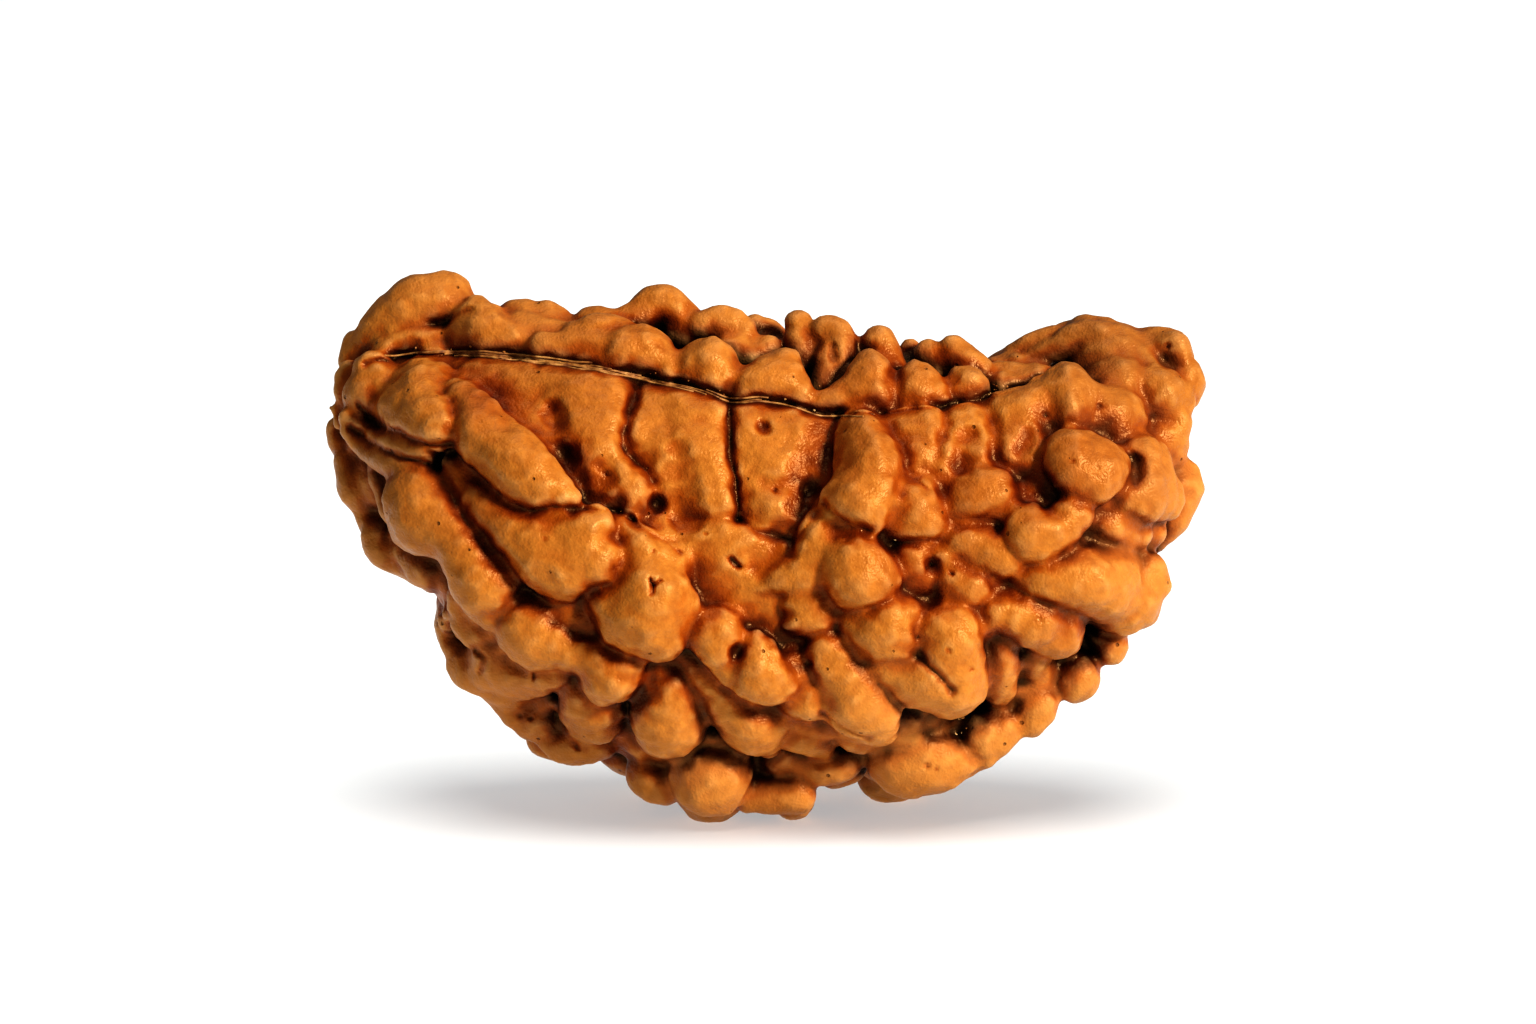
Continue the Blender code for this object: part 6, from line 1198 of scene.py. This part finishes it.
def grow(name, base, tree, material):
    """A plain mesh object of what the tree makes on the base mesh. Every input is set by its identifier."""
    obj = add_object(name, base)
    modifier = obj.modifiers.new(name, "NODES")
    modifier.node_group = tree
    for item in tree.interface.items_tree:
        if item.in_out == "INPUT" and item.socket_type != "NodeSocketGeometry":
            modifier[item.identifier] = material if item.name == "Material" else item.default_value
    graph = bpy.context.evaluated_depsgraph_get()
    mesh = bpy.data.meshes.new_from_object(obj.evaluated_get(graph))
    obj.modifiers.clear()
    obj.data = mesh
    mesh.name = name
    return obj


def crumb_tree():
    """Scatters crumbs over the faces, densest where the crumb attribute is high and the skin lies deep."""
    tree = bpy.data.node_groups.new("crumbs", "GeometryNodeTree")
    given, out = named_inputs(tree, [
        ("Density", "NodeSocketFloat", 38.0e6),
        ("Smallest", "NodeSocketFloat", 0.02 * MM),
        ("Largest", "NodeSocketFloat", 0.06 * MM),
        ("Seed", "NodeSocketInt", 5),
        ("Material", "NodeSocketMaterial", None),
    ])
    share, depth = (
        add_node(tree, "GeometryNodeInputNamedAttribute", {"Name": name}, data_type="FLOAT")
        for name in ("crumb", "hollow"))
    deep = add_node(tree, "ShaderNodeMapRange", {"Value": depth, "From Min": 0.45, "From Max": 0.9})
    held = add_node(tree, "ShaderNodeMath", {0: share, 1: deep}, operation="MULTIPLY")
    chance = add_node(tree, "ShaderNodeMath", {0: held, 1: given.outputs["Density"]}, operation="MULTIPLY")
    spread = add_node(tree, "GeometryNodeDistributePointsOnFaces",
        {"Mesh": given.outputs["Geometry"], "Density": chance, "Seed": given.outputs["Seed"]})
    crumb = add_node(tree, "GeometryNodeMeshIcoSphere", {"Radius": 1.0, "Subdivisions": 1})
    sizes = add_node(tree, "FunctionNodeRandomValue", data_type="FLOAT_VECTOR")
    tree.links.new(given.outputs["Smallest"], sizes.inputs[0])
    tree.links.new(given.outputs["Largest"], sizes.inputs[1])
    placed = add_node(tree, "GeometryNodeInstanceOnPoints", {"Points": spread.outputs["Points"],
        "Instance": crumb.outputs["Mesh"], "Rotation": spread.outputs["Rotation"], "Scale": sizes.outputs[0]})
    return finish_tree(tree, given, out, placed.outputs["Instances"])


def fibre_tree():
    """Gives each line of the seam a thin fibre of its own thickness."""
    tree = bpy.data.node_groups.new("fibres", "GeometryNodeTree")
    given, out = named_inputs(tree, [
        ("Thickness", "NodeSocketFloat", 0.04 * MM),
        ("Material", "NodeSocketMaterial", None),
    ])
    lines = add_node(tree, "GeometryNodeMeshToCurve", {"Mesh": given.outputs["Geometry"]})
    ring = add_node(tree, "GeometryNodeCurvePrimitiveCircle",
        {"Resolution": 5, "Radius": given.outputs["Thickness"]})
    swell = add_node(tree, "GeometryNodeInputNamedAttribute", {"Name": "swell"}, data_type="FLOAT")
    radius = add_node(tree, "GeometryNodeSetCurveRadius", {"Curve": lines.outputs["Curve"],
        "Radius": swell.outputs[0]})
    tube = add_node(tree, "GeometryNodeCurveToMesh", {"Curve": radius.outputs["Curve"],
        "Profile Curve": ring.outputs["Curve"], "Fill Caps": True})
    return finish_tree(tree, given, out, tube.outputs["Mesh"])


def seam_lines(bead_tree):
    """Broken lines that wander along the seam, laid on the bead's skin, each with its own swelling."""
    rng = random.Random(SEED)
    course = spline(SEAM, False, FIBRE_STEP)
    points, edges, swell = [], [], []
    for strand in range(FIBRES):
        if strand < FIBRES_SPREAD:
            first = strand * (len(course) // (FIBRES_SPREAD + 1))
        else:
            first = rng.randrange(0, len(course) - 20)
        count = rng.randrange(*FIBRE_POINTS)
        offset, drift = rng.uniform(-FIBRE_ASIDE, FIBRE_ASIDE), rng.uniform(-FIBRE_DRIFT, FIBRE_DRIFT)
        thick = rng.uniform(*FIBRE_THICK)
        row = course[first:first + count]
        for i, (x, height) in enumerate(row):
            wave = FIBRE_WAVE * noise.noise(Vector((x * FIBRE_OFTEN, strand * FIBRE_APART, 0.0)))
            seen_height = height + offset + drift * i + wave
            start = Vector((x, 0.0, 0.0)) + VIEW_UP * seen_height - VIEW_AWAY * VIEW_START
            hit = bead_tree.ray_cast(start * MM, VIEW_AWAY)[0]
            if hit is None:
                continue
            if i and points and swell[-1] > 0.0:
                edges.append((len(points) - 1, len(points)))
            points.append(hit - VIEW_AWAY * FIBRE_PROUD * MM)
            swell.append(thick * math.sin(math.pi * (i + 1) / (len(row) + 1)) ** FIBRE_BLUNT)
        if swell:
            swell[-1] = 0.0
    mesh = bpy.data.meshes.new("seam_lines")
    mesh.from_pydata(points, edges, [])
    paint(mesh, "swell", np.array(swell))
    return mesh


def make_bead():
    bead = add_object("bead_shell", grown_bead())
    bead.data.materials.append(shell_material())
    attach(bead, "root")
    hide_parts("bead")
    return bead


def make_trimmings(bead):
    """The seam's fibres and the crumbs, each as one mesh."""
    fibres = grow("seam_fibres", seam_lines(tree_of(bead.data)), fibre_tree(), straw_material())
    crumbs = grow("pulp_crumbs", bead.data.copy(), crumb_tree(), crumb_material())
    for piece in (fibres, crumbs):
        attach(piece, "root")
    return [fibres, crumbs]


def make_floor():
    """A plain pale floor, matt as paper, so that it shows no reflection."""
    mesh = bpy.data.meshes.new("studio_floor")
    mesh.from_pydata([(-2, -2, 0), (2, -2, 0), (2, 2, 0), (-2, 2, 0)], [], [(0, 1, 2, 3)])
    floor = add_object("studio_floor", mesh)
    material, _tree, shader = new_material("matt_white_paper")
    shader.inputs["Base Color"].default_value = linear("#E9EDEE")
    shader.inputs["Roughness"].default_value = 0.9
    shader.inputs["Specular IOR Level"].default_value = 0.1
    floor.data.materials.append(material)
    return floor


def make_world():
    world = bpy.data.worlds.new("studio")
    world.use_nodes = True
    world.node_tree.nodes["Background"].inputs["Color"].default_value = (1.0, 1.0, 1.0, 1.0)
    world.node_tree.nodes["Background"].inputs["Strength"].default_value = 0.13
    bpy.context.scene.world = world
    bpy.context.scene.view_settings.view_transform = "Standard"
    bpy.context.scene.view_settings.look = "High Contrast"


def group_of(name, objects):
    group = bpy.data.collections.new(name)
    for obj in objects:
        group.objects.link(obj)
    return group


def add_light(name, at, size, power, colour, lit, shading=None):
    """A round soft lamp that lights only the given objects, and is shaded by all, or only by shading."""
    lamp = bpy.data.lights.new(name, "AREA")
    lamp.shape = "DISK"
    lamp.size = size
    lamp.energy = power
    lamp.color = linear(colour)[:3]
    obj = bpy.data.objects.new(name, lamp)
    obj.location = at
    aim = Vector((0.0, 0.0, LAMP_AIM * MM)) - Vector(at)
    obj.rotation_euler = aim.to_track_quat("-Z", "Y").to_euler()
    bpy.context.scene.collection.objects.link(obj)
    obj.light_linking.receiver_collection = group_of(name + "_lit", lit)
    if shading is not None:
        obj.light_linking.blocker_collection = group_of(name + "_shading", shading)


def make_lights(floor, pieces):
    """A warm key from the right and a weak top light for the bead. The floor has its own two: one that the
    bead shades, and one that it doesn't, as in wide white surroundings."""
    add_light("key", (0.26, -0.2, 0.19), 0.07, 1.6, "#FFF6EA", pieces)
    add_light("top", (0.02, 0.0, 0.3), 0.2, 0.16, "#FFFFFF", pieces)
    add_light("floor_top", (0.01, -0.07, 0.28), 0.24, 0.6, "#FFF9F2", [floor])
    add_light("floor_base", (0.0, 0.2, 0.45), 0.3, 1.16, "#FAFCFF", [floor], [floor])


def make_camera():
    """The photograph's view: VIEW_TILT above the floor, FRAME_WIDTH of the bead's plane across the frame."""
    camera = bpy.data.objects.new("camera", bpy.data.cameras.new("camera"))
    camera.data.sensor_width = SENSOR
    camera.data.lens = SENSOR * CAMERA_DISTANCE / FRAME_WIDTH
    camera.data.clip_start = 0.01
    centre = BEAD_SHIFT + Vector((FRAME_CENTRE[0], 0.0, 0.0)) + VIEW_UP * FRAME_CENTRE[1]
    camera.location = (centre - VIEW_AWAY * CAMERA_DISTANCE) * MM
    camera.rotation_euler = VIEW_AWAY.to_track_quat("-Z", "Y").to_euler()
    bpy.context.scene.collection.objects.link(camera)
    bpy.context.scene.camera = camera


make_camera()
make_world()
floor = make_floor()
bead = make_bead()
pieces = [bead, *make_trimmings(bead)]
for piece in pieces:
    piece.data.transform(Matrix.Translation(BEAD_SHIFT * MM))
make_lights(floor, pieces)
